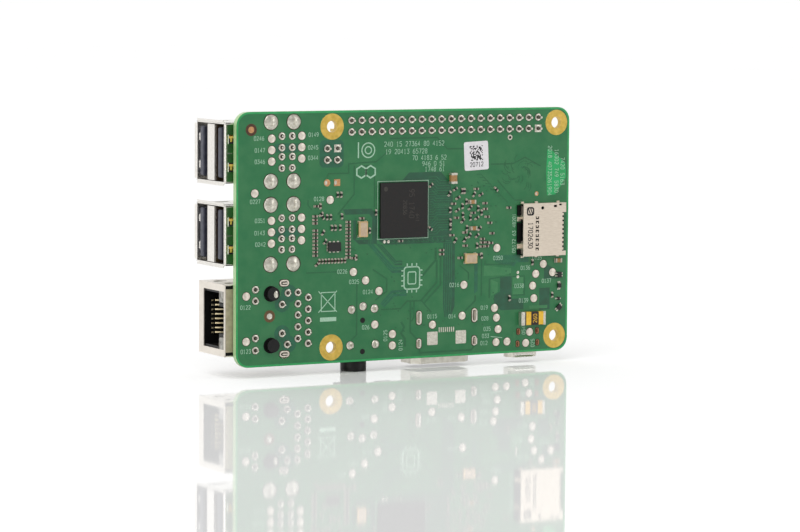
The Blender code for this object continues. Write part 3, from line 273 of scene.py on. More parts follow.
finishes = {
    "solderMask": dict(a="35704a", b="3f764f", grain=0.35, rough=0.42, spread=0.12, bump=0.006,
                       bumpGrain=3.0, coat=0.15),
    "tealMask": dict(maskLook, a="12604a", b="186a52", grain=0.6, rough=0.38, bump=0.005, coat=0.15),
    "plainMask": dict(maskLook, a="35704a", b="3f764f"),
    "clearMask": dict(maskLook, a="185643", b="1e5f4a", grain=0.6, rough=0.38, bump=0.005, coat=0.15),
    "trackMask": dict(maskLook, a="356f4c", b="3d7652", grain=0.8, rough=0.4, bumpGrain=5.0),
    "shadeMask": dict(maskLook, a="2c6244", b="306848"),
    "liftMask": dict(maskLook, a="417b52", b="4a8158"),
    "rimMask": dict(maskLook, a="339457", b="3e9e60", rough=0.35, coat=0.2),
    "antennaMask": dict(maskLook, a="28995a", b="35a565", rough=0.35, coat=0.2),
    "print": dict(printLook, a="94b9a0", b="a8c8b0", spread=0.15),
    "ringGold": dict(goldLook, a="d9b95f", b="c3a44c", rough=0.38, metal=0.85),
    "gold": dict(goldLook, a="e6c468", b="d2ae52"),
    "paleGold": dict(goldLook, a="eadcb8", b="cfbd92", rough=0.3, metal=0.75),
    "fadedTin": dict(solderLook, a="c2bcae", b="a39d8f", rough=0.34, bump=0.015),
    # Darker tin used as painted shade: on the pin shanks inside the joints, the contact fingers under the
    # card socket's cover and the recess plates on the network lamps
    "shadedTin": dict(solderLook, a="6a665e", b="86817a", rough=0.4, bump=0.01, bumpGrain=4.0),
    # Dark brown used as painted shade: on the steel dividers deep in the USB ports, in the middle of each
    # pin joint and in the rings round pads, where it also marks the mask openings
    "shadeBrown": dict(ceramicLook, a="3b352c", b="4a4338", rough=0.4, bump=0.006, bumpGrain=6.0, spec=0.3),
    "umberMask": dict(brownLook, a="5d4a37", b="6a5640"),
    # Near black used as painted shade: in the holes round the network pegs, inside and beside the card
    # socket, and on the black plastic corners by the network flap
    "shadeBlack": dict(printLook, a="0c0c0c", b="141414", grain=1.5, bump=0.006, bumpGrain=6.0, spec=0.12),
    "greenFilm": dict(a="25502c", b="2f5c31", grain=0.9, rough=0.3, spread=0.1, bump=0.006, bumpGrain=5.0,
                      spec=0.4),
    "nickel": dict(sheetLook, a="e5ded3", b="ddd6cb", grain=0.5, spread=0.05, metal=0.8),
    "softSteel": dict(sheetLook, a="d8d4ca", b="c7c2b7", rough=0.3, spread=0.06, metal=0.9),
    "duskSteel": dict(sheetLook, a="aea48a", b="9a917a", rough=0.35, spread=0.12, metal=0.5),
    "tin": dict(solderLook, a="d9d6ca", b="bdb8aa", metal=0.85),
    "testPad": dict(copperLook, a="e4ddd0", b="cdc3b5", grain=1.6, bump=0.012, bumpGrain=4.0),
    "agedCopper": dict(copperLook, a="a87858", b="8a5f45", metal=0.7),
    "copper": dict(copperLook, a="cc9d70", b="b4835a", rough=0.35, metal=0.8),
    "brownMask": dict(brownLook, a="4c3826", b="5b452f"),
    "steel": dict(sheetLook, a="efece6", b="dfdbd4", rough=0.26, metal=0.95, stretch=(1, 5, 5)),
    "warmSteel": dict(sheetLook, a="ded2c2", b="d3c6b5", stretch=(1, 5, 5)),
    "blackPlastic": dict(a="161617", b="1f1f20", grain=1.2, rough=0.4, spread=0.15, bump=0.01,
                         bumpGrain=11.0, spec=0.3),
    "navyPlastic": dict(mouldedLook, a="44464f", b="50515a", rough=0.38),
    "creamPlastic": dict(mouldedLook, a="ded3bd", b="cfc3aa", rough=0.5),
    "brownPlastic": dict(mouldedLook, a="3a2a20", b="4a362a"),
    "blackEpoxy": dict(epoxyLook, a="1d1d1e", b="282829"),
    "greyEpoxy": dict(epoxyLook, a="2f2d2a", b="383633", rough=0.55, spec=0.4),
    "laserMark": dict(printLook, a="4a4844", b="56544f", grain=5.0, rough=0.65, bumpGrain=14.0),
    "faintMark": dict(a="403e3b", b="474541", grain=0.8, rough=0.5, spread=0.1, bump=0.006, bumpGrain=6.0),
    "ferrite": dict(a="3a3a3c", b="4b4a4a", grain=2.5, rough=0.6, spread=0.15, bump=0.03, bumpGrain=6.0),
    "crystalLid": dict(canLook, a="c6b096", b="b6a087"),
    "crystalCan": dict(canLook, a="cdb183", b="bfa375", metal=0.6, stretch=(1, 4, 1)),
    "tanCeramic": dict(ceramicLook, a="a8845a", b="8f6d48"),
    "brownCeramic": dict(ceramicLook, a="4c3a30", b="3a2b24"),
    "darkResistor": dict(ceramicLook, a="1b1a19", b="2a2523", rough=0.35, bump=0.006),
    "fuseYellow": dict(a="e8bd4c", b="d9ab38", grain=1.2, rough=0.4, spread=0.12, bump=0.01, bumpGrain=7.0),
    "fuseBrown": dict(brownLook, a="35261b", b="423120", grain=1.2, bump=0.01, bumpGrain=7.0),
    "label": dict(printLook, a="d6d3d6", b="dedcdd", grain=1.5, bump=0.006, bumpGrain=10.0),
    "labelInk": dict(printLook, a="2a2a2c", b="38383a", rough=0.7, bump=0.002),
    "silicon": dict(canLook, a="3c3f4a", b="4a4d58", rough=0.15, spread=0.05, metal=0.4, bump=0.002),
    "redLamp": dict(lampLook, a="e05040", b="e8796a"),
    "greenLamp": dict(lampLook, a="8fd08a", b="b5dfae"),
    "frostedLamp": dict(a="a5a39b", b="6a6862", grain=1.0, rough=0.3, spread=0.1, bump=0.01, bumpGrain=6.0,
                        coat=0.3),
    "floorPaint": dict(a="fafafa", b="f7f7f7", grain=0.01, rough=0.5, spread=0.05, bump=0.0, bumpGrain=1.0),
}


def makeFinish(name, look):
    material = bpy.data.materials.new(name)
    material.use_nodes = True
    nodes, links = material.node_tree.nodes, material.node_tree.links
    shader = nodes["Principled BSDF"]
    where = nodes.new("ShaderNodeTexCoord")
    laid = nodes.new("ShaderNodeMapping")
    laid.inputs["Scale"].default_value = look.get("stretch", (1, 1, 1))
    links.new(where.outputs["Object"], laid.inputs["Vector"])

    def noise(grain, detail):
        made = nodes.new("ShaderNodeTexNoise")
        made.inputs["Scale"].default_value = grain / mm
        made.inputs["Detail"].default_value = detail
        links.new(laid.outputs["Vector"], made.inputs["Vector"])
        return made.outputs["Fac"]

    colours = nodes.new("ShaderNodeValToRGB")
    colours.color_ramp.elements[0].position = 0.35
    colours.color_ramp.elements[1].position = 0.65
    sheen = 0.0 if look.get("metal") else 0.032          # what a pale room adds over a dark colour
    for end, colour in zip(colours.color_ramp.elements, (look["a"], look["b"])):
        end.color = (*[max(0.004, part - sheen) for part in hexColour(colour)[:3]], 1.0)
    links.new(noise(look["grain"], 5.0), colours.inputs["Fac"])
    links.new(colours.outputs["Color"], shader.inputs["Base Color"])
    dulling = nodes.new("ShaderNodeMapRange")
    dulling.inputs["To Min"].default_value = look["rough"] - look["spread"] / 2
    dulling.inputs["To Max"].default_value = look["rough"] + look["spread"] / 2
    links.new(noise(look["grain"] * 2.7, 4.0), dulling.inputs["Value"])
    links.new(dulling.outputs["Result"], shader.inputs["Roughness"])
    shader.inputs["Metallic"].default_value = look.get("metal", 0.0)
    shader.inputs["Specular IOR Level"].default_value = look.get("spec", 0.5)
    shader.inputs["Coat Weight"].default_value = look.get("coat", 0.0)
    shader.inputs["Coat Roughness"].default_value = 0.2
    if look["bump"]:
        relief = nodes.new("ShaderNodeBump")
        relief.inputs["Strength"].default_value = 0.6
        relief.inputs["Distance"].default_value = look["bump"] * mm
        links.new(noise(look["bumpGrain"], 3.0), relief.inputs["Height"])
        links.new(relief.outputs["Normal"], shader.inputs["Normal"])
    return material


finish = {name: makeFinish(name, look) for name, look in finishes.items()}


# The nodes that keep their CAD shape and take a better finish
keptNodes = {
    "solderMask": ["circuit_board"],
    "shadeMask": ["processor_base"],
    "silicon": ["processor_die"],
    "steel": ["processor_lid", "wireless_shield"],
    "softSteel": ["hdmi_shell"],
    "tin": [f"audio_contact_{number}" for number in range(1, 5)],
    "blackPlastic": ["card_socket_base", "network_housing", "network_transformer", "hdmi_insulator",
                     "power_socket_insulator", "audio_jack_body"],
    "blackEpoxy": ["core_regulator", "wireless_chip", "network_and_usb_controller", "power_management_chip",
                   "usb_current_switch"],
    "greyEpoxy": ["memory_chip"],
    "crystalCan": ["processor_crystal", "controller_clock", "controller_crystal"],
    "ferrite": [f"power_inductor_{number}" for number in range(1, 5)],
    "tanCeramic": ["bulk_capacitor", "usb_reservoir_capacitor"],
    "fuseYellow": ["input_fuse"],
    "redLamp": ["power_led"],
    "greenLamp": ["activity_led"],
    # the steel dividers between the USB ports take dark brown as painted shade
    "shadeBrown": ["usb_divider_1", "usb_divider_2"],
    "creamPlastic": ["camera_connector_housing", "display_connector_housing"],
    "brownPlastic": ["camera_connector_latch", "display_connector_latch"],
}
for look, nodes in keptNodes.items():
    for node in nodes:
        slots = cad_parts[node].data.materials
        slots.clear()
        slots.append(finish[look])
print("finishes made:", len(finish))

# Camera, floor and light
studio = {
    "cameraPlace": (-0.35914, -0.65456, 0.08887),
    "cameraLooks": (0.48290, 0.87124, -0.08805),
    "cameraUp": (0.03673, 0.08031, 0.99609),
    "lens": 149.26,
    "roomAhead": 1.0,
    "roomBehind": 0.45,
    "overhead": 1.3,
    "left": 2.4,
    "right": 2.4,
    "floorSize": 60.0,
    "floorMirror": 0.42,
    "floorGloss": 0.035,
}
scene = bpy.context.scene
scene.view_settings.view_transform = "Standard"
cameraData = bpy.data.cameras.new("camera")
cameraData.lens = studio["lens"]
cameraData.sensor_width = 36.0
cameraData.clip_end = 100.0
camera = bpy.data.objects.new("camera", cameraData)
scene.collection.objects.link(camera)
looks = Vector(studio["cameraLooks"]).normalized()
upward = Vector(studio["cameraUp"]).normalized()
sideways = looks.cross(upward).normalized()
camera.matrix_world = Matrix.Translation(studio["cameraPlace"]) @ Matrix(
    (sideways, sideways.cross(looks), -looks)).transposed().to_4x4()
scene.camera = camera

floorMesh = bmesh.new()
addBox(floorMesh, (-0.5, -0.5, -0.004), (0.5, 0.5, 0.0))
bmesh.ops.scale(floorMesh, vec=(studio["floorSize"], studio["floorSize"], 1.0), verts=floorMesh.verts)
floorData = bpy.data.meshes.new("studio_floor")
floorMesh.to_mesh(floorData)
floorMesh.free()
floor = bpy.data.objects.new("studio_floor", floorData)
scene.collection.objects.link(floor)
floorNodes = finish["floorPaint"].node_tree
mirror = floorNodes.nodes.new("ShaderNodeBsdfGlossy")
mirror.inputs["Roughness"].default_value = studio["floorGloss"]
mirror.inputs["Color"].default_value = (1.0, 1.0, 1.0, 1.0)
blend = floorNodes.nodes.new("ShaderNodeMixShader")
blend.inputs["Fac"].default_value = studio["floorMirror"]
floorNodes.links.new(floorNodes.nodes["Principled BSDF"].outputs["BSDF"], blend.inputs[1])
floorNodes.links.new(mirror.outputs["BSDF"], blend.inputs[2])
floorNodes.links.new(blend.outputs["Shader"], floorNodes.nodes["Material Output"].inputs["Surface"])
floorNodes.nodes["Principled BSDF"].inputs["Specular IOR Level"].default_value = 0.0
floorData.materials.append(finish["floorPaint"])

# A room that is white ahead and dimmer behind the camera, so that metal has something to show
world = bpy.data.worlds.new("studioRoom")
world.use_nodes = True
worldTree = world.node_tree
direction = worldTree.nodes.new("ShaderNodeTexCoord")
parts = worldTree.nodes.new("ShaderNodeSeparateXYZ")
worldTree.links.new(direction.outputs["Generated"], parts.inputs["Vector"])
fade = worldTree.nodes.new("ShaderNodeMapRange")
fade.inputs["From Min"].default_value = -0.5
fade.inputs["From Max"].default_value = 0.25
fade.inputs["To Min"].default_value = studio["roomBehind"]
fade.inputs["To Max"].default_value = studio["roomAhead"]
worldTree.links.new(parts.outputs["Y"], fade.inputs["Value"])
worldTree.links.new(fade.outputs["Result"], worldTree.nodes["Background"].inputs["Strength"])
worldTree.nodes["Background"].inputs["Color"].default_value = (1.0, 1.0, 1.0, 1.0)
scene.world = world


def addLight(name, kind, place, power, size):
    lampData = bpy.data.lights.new(name, kind)
    lampData.energy = power
    if kind == "SUN":
        lampData.angle = math.radians(size)
    else:
        lampData.shape = "SQUARE"
        lampData.size = size
    lamp = bpy.data.objects.new(name, lampData)
    scene.collection.objects.link(lamp)
    lamp.location = place
    lamp.rotation_euler = (Vector((0, 0, 0.03)) - Vector(place)).to_track_quat("-Z", "Y").to_euler()


addLight("overheadLight", "SUN", (-0.45, -0.35, 0.85), studio["overhead"], 50)
addLight("leftLight", "AREA", (-1.0, -0.55, 0.4), studio["left"], 0.6)
addLight("rightLight", "AREA", (0.8, -0.9, 0.5), studio["right"], 0.6)
print("stage set")

# Board: the CAD laminate, its cut edge, the bare rim, the copper under the mask and the gold rings
board = {
    "rimInset": 0.03,
    "rimWidth": 0.42,
    "maskHeight": 0.012,
    "ringOuter": 2.9,
    "ringInner": 1.3,
    "ringHeight": 0.06,
    "mountingHoles": ((23.5, 52.5), (81.5, 52.5), (23.5, 3.5), (81.5, 3.5)),
}
maskTree = finish["solderMask"].node_tree
facing = maskTree.nodes.new("ShaderNodeSeparateXYZ")
coordinates = maskTree.nodes.new("ShaderNodeTexCoord")
maskTree.links.new(coordinates.outputs["Normal"], facing.inputs["Vector"])
flat = maskTree.nodes.new("ShaderNodeMath")
flat.operation = "ABSOLUTE"
maskTree.links.new(facing.outputs["Y"], flat.inputs[0])
sawn = maskTree.nodes.new("ShaderNodeMix")
sawn.data_type = "RGBA"
maskRamp = maskTree.nodes["Color Ramp"]
maskTree.links.new(flat.outputs["Value"], sawn.inputs["Factor"])
sawn.inputs[6].default_value = hexColour("9fbd8b")
maskTree.links.new(maskRamp.outputs["Color"], sawn.inputs[7])
maskTree.links.new(sawn.outputs[2], maskTree.nodes["Principled BSDF"].inputs["Base Color"])


def boardOutline(inset, steps=8):
    width, height = boardLength - 2 * inset, boardWidth - 2 * inset
    points = rectangle(width, height, boardCorner - inset, steps)
    return [(a + boardLength / 2, b + boardWidth / 2) for a, b in points]


for side, place in (("under", under), ("top", top)):
    rim = bmesh.new()
    addRibbon(rim, boardOutline(board["rimInset"] + board["rimWidth"] / 2), board["rimWidth"], sunk,
              board["maskHeight"], closed=True)
    makePiece("bare_rim_" + side, rim, place, "rimMask")

for number, (u, v) in enumerate(board["mountingHoles"], 1):
    ring = bmesh.new()
    thickness = (topFace.y - underFace.y) / mm
    inner, outer, high = board["ringInner"], board["ringOuter"], board["ringHeight"]
    lowSide = -thickness - high
    profile = [(inner, high - 0.02), (inner + 0.02, high), (outer - 0.02, high), (outer, high - 0.02),
               (outer, -0.02),
               (inner + 0.15, -0.02), (inner + 0.15, -thickness + 0.02), (outer, -thickness + 0.02),
               (outer, lowSide + 0.02), (outer - 0.02, lowSide), (inner + 0.02, lowSide),
               (inner, lowSide + 0.02)]
    addTurned(ring, (u, v), profile, 48, loop=True)
    makePiece(f"mounting_ring_{number}", ring, under, "ringGold")

# Zones of bare laminate and darker copper, as outlines of the soldered face
clearZones = {
    "poe_pads": turned(rectangle(6.0, 6.1, 1.1), (23.4, 46.5), 0),
    "crystal_top": [(26.3, 34.1), (33.5, 34.1), (34.9, 32.7), (34.9, 26.2), (33.7, 26.2), (33.7, 32.1),
                    (32.9, 32.9), (26.9, 32.9)],
    "crystal_foot": [(28.9, 31.6), (29.7, 31.6), (29.7, 27.2), (33.6, 27.2), (33.6, 26.2), (30.4, 26.2),
                     (28.9, 27.4)],
    "chip_right": [(47.4, 41.9), (51.2, 41.9), (53.5, 39.6), (54.3, 36.6), (54.3, 30.0), (53.9, 27.4),
                   (47.4, 27.4)],
    "chip_top": [(41.3, 40.2), (43.0, 41.9), (47.4, 41.9), (47.4, 40.2)],
    "chip_foot": [(35.4, 27.3), (53.9, 27.3), (54.4, 25.9), (37.0, 25.9), (35.4, 26.8)],
    "lane_left": [(32.5, 26.2), (33.9, 26.2), (39.3, 20.8), (42.0, 20.8), (42.0, 19.5), (38.8, 19.5)],
    "lane_right": [(34.7, 26.2), (36.2, 25.9), (39.9, 22.2), (41.4, 22.2), (41.4, 21.2), (39.6, 21.2)],
    "mark_foot": [(38.7, 15.6), (42.6, 15.6), (42.6, 14.2), (39.4, 14.2), (36.9, 11.9), (35.9, 12.8)],
    "net_pins_1": arc((11.3, 13.7), 1.85, 0, 337, 15),
    "net_pins_2": arc((13.0, 15.9), 2.0, 0, 337, 15),
    "net_pins_3": arc((11.3, 7.1), 1.95, 0, 337, 15),
    "net_pins_4": arc((12.9, 4.8), 1.9, 0, 337, 15),
    "usb_pins_high": turned(rectangle(6.6, 2.0, 0.9), (12.3, 48.0), 0),
    "usb_pins_low": turned(rectangle(6.6, 2.0, 0.9), (12.3, 29.4), 0),
    "lane_a": [(52.0, 25.8), (55.0, 25.8), (55.0, 11.4), (54.0, 9.0), (52.4, 9.0), (52.0, 12.0)],
    "lane_b": [(60.1, 21.2), (61.0, 21.2), (61.0, 14.6), (60.1, 14.0)],
    "block_a": [(65.6, 22.5), (74.4, 22.5), (74.4, 20.7), (71.2, 20.7), (70.6, 19.8), (65.6, 20.9)],
    "block_b": [(66.9, 17.6), (70.0, 17.6), (70.0, 12.4), (73.2, 12.4), (73.2, 9.9), (67.2, 9.9),
                (65.4, 11.4), (65.4, 13.4), (66.9, 14.2)],
    "block_c": [(78.6, 20.6), (82.2, 18.2), (82.2, 16.6), (78.6, 16.6)],
    "block_d": [(77.4, 14.6), (80.2, 14.6), (80.2, 9.6), (77.4, 9.6)],
}
tealZones = ("net_pins", "usb_pins", "poe_pads", "block_a", "lane_b", "lane_left", "mark_foot")
raisedZones = {
    "plane_a": [(62.6, 20.3), (69.8, 19.4), (69.8, 18.4), (68.0, 17.9), (62.6, 17.9)],
    "plane_b": [(64.6, 17.0), (66.3, 16.3), (66.3, 14.1), (64.6, 13.3)],
    "plane_c": [(70.3, 17.3), (73.1, 17.3), (73.1, 13.4), (70.3, 13.4)],
    "plane_d": [(74.8, 10.6), (79.6, 10.6), (79.6, 9.9), (74.8, 9.9)],
}
darkTracks = (
    ([(17.2, 20.3), (27.2, 20.3)], 0.3),
    ([(22.2, 41.2), (22.6, 42.1), (27.7, 42.1), (27.7, 44.2), (34.6, 44.5), (37.4, 46.6)], 0.3),
    ([(29.1, 43.7), (29.1, 37.4), (25.0, 33.0)], 0.36),
    ([(34.2, 43.2), (34.2, 34.4)], 0.3),
    ([(29.9, 17.4), (29.9, 6.0), (28.6, 4.9)], 0.36),
    ([(33.9, 20.5), (37.5, 18.2), (37.5, 15.5), (34.6, 13.6)], 0.34),
    ([(36.1, 11.4), (41.0, 11.4), (42.7, 13.0), (46.4, 13.0), (49.0, 10.2)], 0.34),
    ([(43.6, 13.0), (43.6, 6.0), (46.0, 3.6), (46.0, 1.2), (59.4, 1.2), (61.0, 2.8)], 0.4),
    ([(44.5, 12.8), (44.5, 9.4), (43.9, 8.4)], 0.3),
    ([(46.4, 18.4), (50.0, 22.0), (50.0, 24.8)], 0.55),
    ([(51.3, 24.4), (51.3, 16.4), (46.9, 12.2)], 0.45),
    ([(50.3, 22.0), (50.3, 17.0), (46.2, 12.9)], 0.45),
    ([(56.2, 20.6), (58.6, 18.8), (58.6, 17.2)], 0.3),
    ([(60.4, 13.6), (60.4, 12.4), (57.8, 10.2)], 0.4),
    ([(62.0, 21.6), (62.0, 13.4)], 0.34),
    ([(62.9, 21.4), (62.9, 20.6), (70.0, 20.2)], 0.3),
    ([(64.1, 12.8), (64.1, 17.2), (68.0, 17.6)], 0.3),
    ([(70.2, 17.5), (73.4, 17.5), (73.4, 13.2), (70.2, 13.2)], 0.25),
    ([(38.0, 49.6), (50.2, 49.6), (52.8, 47.0), (57.0, 47.0)], 0.34),
    ([(64.2, 43.3), (70.0, 43.3), (73.2, 44.7), (77.4, 42.6)], 0.3),
    ([(66.0, 39.6), (70.6, 35.0), (72.6, 34.9)], 0.3),
    ([(41.2, 8.4), (42.0, 7.2), (41.2, 5.8), (42.2, 4.6), (42.2, 2.8)], 0.5),
    ([(30.4, 43.6), (34.0, 43.6)], 0.3),
    ([(17.6, 36.4), (17.6, 35.2), (18.6, 34.2)], 0.3),
    ([(75.8, 19.6), (75.8, 22.2)], 0.3),
    ([(72.4, 8.6), (78.4, 6.0)], 0.25),
)
clearances, tealAreas = bmesh.new(), bmesh.new()
for step, (name, outline) in enumerate(clearZones.items()):
    addPrism(tealAreas if name.startswith(tealZones) else clearances, outline, sunk,
             board["maskHeight"] - 0.006 + step * 0.0004)
makePiece("mask_over_bare_laminate", clearances, under, "clearMask")
makePiece("mask_over_pin_clearances", tealAreas, under, "tealMask")
planes = bmesh.new()
for outline in raisedZones.values():
    addPrism(planes, outline, sunk, board["maskHeight"] + 0.006)
makePiece("mask_over_planes", planes, under, "liftMask")
shaded = bmesh.new()
for step, (path, width) in enumerate(darkTracks):
    addRibbon(shaded, path, width, sunk, board["maskHeight"] + 0.001 + step * 0.0002)
for i in range(9):
    u, v = 61.4 + i * 0.78, 40.6 - i * 0.72
    addRibbon(shaded, [(u - 0.9, v + 0.5), (u + 0.3, v + 0.5), (u + 1.2, v - 0.5)], 0.17, sunk,
              board["maskHeight"] + 0.006 + i * 0.0002)
feather = random.Random(17)                            # curved strokes in the upper right
for i in range(26):
    turn, reach = feather.uniform(0, 360), feather.uniform(0.6, 3.6)
    centre = (72.0 + reach * math.cos(math.radians(turn)) * 1.1,
              41.4 + reach * math.sin(math.radians(turn)))
    addRibbon(shaded, arc(centre, feather.uniform(0.9, 1.8), turn + 20, turn + feather.uniform(90, 150), 7),
              0.16, sunk,
              board["maskHeight"] + 0.007 + i * 0.0002)
makePiece("mask_over_gaps", shaded, under, "shadeMask")

# Fine tracks raised under the mask: fans at the memory chip and pairs along the lanes
tracks = bmesh.new()
trackWidth = 0.12
dice = random.Random(11)
trackHigh = 0.024
for i in range(24):
    v = 27.9 + i * 0.56
    rise = (0.9, 0.4, -0.4, -0.9)[i // 6]
    turnAt = 48.8 + 0.28 * (i % 6 if rise < 0 else 5 - i % 6)
    addRibbon(tracks, [(47.9, v), (turnAt, v), (turnAt + abs(rise), v + rise), (53.5, v + rise)],
              trackWidth, 0.0, trackHigh)
for i in range(13):
    u = 36.6 + i * 1.25
    addRibbon(tracks, [(u, 27.3), (u, 26.8), (u + 0.5, 26.3), (u + 2.0, 26.3)], trackWidth, 0.0, trackHigh)
for shift in (-0.3, 0.12):
    addRibbon(tracks, [(33.2 + shift, 27.2), (33.2 + shift, 26.0 + shift / 2),
                       (38.9 + shift, 20.3 + shift / 2), (41.9, 20.3 + shift / 2)],
              0.16, 0.0, trackHigh)
    addRibbon(tracks, [(35.3 + shift, 26.2), (39.7 + shift, 21.8 + shift / 2), (41.3, 21.8 + shift / 2)],
              0.16, 0.0, trackHigh)
    addRibbon(tracks, [(36.5 + shift, 12.4 - shift), (39.2 + shift, 14.9), (42.5, 14.9 - shift)], 0.16, 0.0,
              trackHigh)
for i in range(4):
    addRibbon(tracks, [(52.5 + i * 0.55, 25.6), (52.4 + i * 0.55, 11.8), (52.6 + i * 0.4, 9.6),
                       (52.6 + i * 0.4, 7.0)], 0.16, 0.0, trackHigh)
for i in range(6):
    addRibbon(tracks, [(65.8, 22.3 - i * 0.28), (70.2 + i * 0.3, 22.3 - i * 0.28)], trackWidth, 0.0,
              trackHigh)
makePiece("tracks_under_mask", tracks, under, "trackMask")

antenna = bmesh.new()
addPrism(antenna, [(79.2, 46.4), (80.4, 46.1), (84.0, 43.2), (84.3, 40.0), (81.4, 36.0), (79.2, 35.8),
                   (78.9, 41.0)], sunk,
         board["maskHeight"] + 0.004)
makePiece("antenna_window", antenna, under, "antennaMask")

vias = bmesh.new()
for zone in ((36.0, 74.0, 6.0, 26.0, 60), (48.6, 66.0, 22.0, 40.0, 70), (18.0, 34.0, 23.0, 34.0, 26)):
    for i in range(zone[4]):
        centre = (dice.uniform(zone[0], zone[1]), dice.uniform(zone[2], zone[3]))
        addTurned(vias, centre, [(0.2, 0.0), (0.19, 0.028), (0.1, 0.03), (0.09, 0.02), (0, 0.02)], 8)
makePiece("vias_under_mask", vias, under, "shadeMask")
print("board done")

# Printing: plain digits drawn with strokes, and plain shapes
digitStrokes = {
    "0": [[(0, .2), (0, .8), (.25, 1), (.75, 1), (1, .8), (1, .2), (.75, 0), (.25, 0), (0, .18)]],
    "1": [[(.2, .8), (.5, 1), (.5, 0)], [(.2, 0), (.8, 0)]],
    "2": [[(0, .8), (.25, 1), (.75, 1), (1, .8), (1, .6), (0, .05)], [(0, 0), (1, 0)]],
    "3": [[(0, 1), (1, 1), (.5, .6), (.8, .58), (1, .4), (1, .2), (.75, 0), (.25, 0), (0, .2)]],
    "4": [[(.75, 0), (.75, 1), (0, .3), (1, .3)]],
    "5": [[(1, 1), (.1, 1), (.05, .58), (.7, .6), (1, .4), (1, .2), (.75, 0), (.2, 0), (0, .15)]],
    "6": [[(.9, 1), (.4, .9), (0, .5), (0, .2), (.25, 0), (.75, 0), (1, .2), (1, .4), (.75, .56),
           (.25, .56), (0, .4)]],
    "7": [[(0, 1), (1, 1), (.4, 0)]],
    "8": [[(.25, .55), (0, .75), (.25, 1), (.75, 1), (1, .75), (.75, .55), (.25, .55), (0, .3), (.25, 0),
           (.75, 0), (1, .3), (.75, .55)]],
    "9": [[(1, .6), (.75, .45), (.25, .45), (0, .6), (0, .8), (.25, 1), (.75, 1), (1, .8), (1, .5),
           (.6, .1), (.1, 0)]],
}


def addDigits(mesh, text, centre, height, angle=0, weight=0.105, low=0.0, high=0.03):
    advance, width = height * 0.76, height * 0.5
    start = -advance * (len(text) - 1) / 2 - width / 2
    for i, digit in enumerate(text):
        for stroke in digitStrokes.get(digit, ()):
            points = [(start + i * advance + a * width, (b - 0.5) * height) for a, b in stroke]
            addRibbon(mesh, turned(points, centre, angle), weight, low, high)


# number, place of its middle, turn
padNumbers = (
    ("0246", 5.5, 50.2, 0), ("0147", 5.7, 47.6, 0), ("0346", 5.7, 45.1, 0), ("0149", 18.9, 50.8, 0),
    ("0245", 18.8, 48.0, 0), ("0344", 18.8, 45.7, 0), ("0227", 4.6, 36.4, 0), ("0351", 5.8, 32.2, 0),
    ("0143", 5.7, 29.5, 0), ("0242", 5.9, 27.0, 0), ("0128", 20.3, 36.6, 0), ("0226", 26.2, 20.3, 0),
    ("0325", 29.2, 17.9, 0), ("0124", 32.7, 15.5, 0), ("026", 32.2, 7.6, 0), ("0122", 2.3, 13.3, 0),
    ("0123", 2.4, 3.6, 0), ("0350", 66.3, 21.9, 0), ("0135", 76.7, 21.6, 0), ("0136", 73.6, 19.4, 0),
    ("0137", 79.3, 16.2, 0), ("0338", 72.0, 15.3, 0), ("0139", 73.2, 11.9, 0), ("019", 62.8, 10.7, 0),
    ("028", 63.0, 8.2, 0), ("035", 63.6, 5.8, 0), ("033", 63.2, 4.2, 0), ("012", 62.8, 2.6, 0),
    ("0115", 49.2, 9.3, 0), ("014", 54.4, 9.1, 0), ("0216", 54.9, 16.2, 0), ("054", 73.3, 5.0, 90),
    ("025", 75.75, 2.0, 90), ("0125", 37.2, 5.5, 90), ("0124", 41.1, 3.2, 90),
)
# number, centre, height and turn of the larger printed lines
printedLines = (
    ("240 15 27364 80 4152", 44.3, 48.35, 1.02, 0), ("19 20413 65728", 42.3, 46.65, 1.02, 0),
    ("70 4183 6 52", 48.2, 45.15, 0.98, 0), ("946 0 51", 49.3, 43.8, 0.98, 0),
    ("1748 61", 49.6, 42.55, 0.98, 0),
    ("2018 40735261904", 79.9, 41.5, 0.95, -90), ("16302 749 5830", 81.7, 41.4, 0.95, -90),
    ("7420 5163", 83.3, 41.3, 0.95, -90), ("05172 63 48201", 70.5, 27.4, 0.85, 90),
)
printing = bmesh.new()
for text, u, v, angle in padNumbers:
    addDigits(printing, text, (u, v), 0.86, angle)
for text, u, v, height, angle in printedLines:
    addDigits(printing, text, (u, v), height, angle)


def addMarks(mesh, low=0.0, high=0.03):
    def stroke(points, width=0.3, closed=False):
        addRibbon(mesh, points, width, low, high, closed=closed)

    stroke(arc((32.6, 47.1), 1.62, 0, 345, 23), 0.26, True)     # ring with a smaller ring inside
    stroke(arc((32.6, 47.1), 0.8, 0, 337, 15), 0.24, True)
    stroke([(30.1, 48.9), (30.1, 45.4)], 0.3)
    for u in (30.9, 33.2):                                      # two open hexagons
        stroke(arc((u, 42.3), 1.35, 30, 330, 5), 0.34, True)
    stroke(turned(rectangle(3.4, 4.2), (22.7, 13.7), 0), 0.2, True)   # crossed square with a bar under it
    stroke([(20.3, 11.4), (24.9, 16.1)], 0.2)
    stroke([(20.3, 16.1), (24.9, 11.4)], 0.2)
    addPrism(mesh, box2((20.7, 9.35), (24.75, 10.25)), low, high)
    stroke(turned(rectangle(4.0, 5.0, 0.7, 3), (43.9, 18.2), 0), 0.3, True)   # chip pictogram
    stroke(turned(rectangle(2.0, 2.7, 0.3, 3), (43.9, 18.2), 0), 0.24, True)
    for i in range(4):
        v = 16.5 + i * 1.13
        stroke([(41.9, v), (41.2, v)], 0.28)
        stroke([(45.9, v), (46.6, v)], 0.28)
    for i in range(3):
        u = 42.7 + i * 1.2
        stroke([(u, 20.7), (u, 21.5)], 0.28)
        stroke([(u, 15.7), (u, 14.9)], 0.28)
    stroke([(64.6, 4.0), (67.6, 3.6)], 0.14)
    stroke(box2((35.05, 27.15), (47.95, 40.05)), 0.16, True)      # outline of the memory chip


addMarks(printing)
makePiece("underside_printing", printing, under, "print")

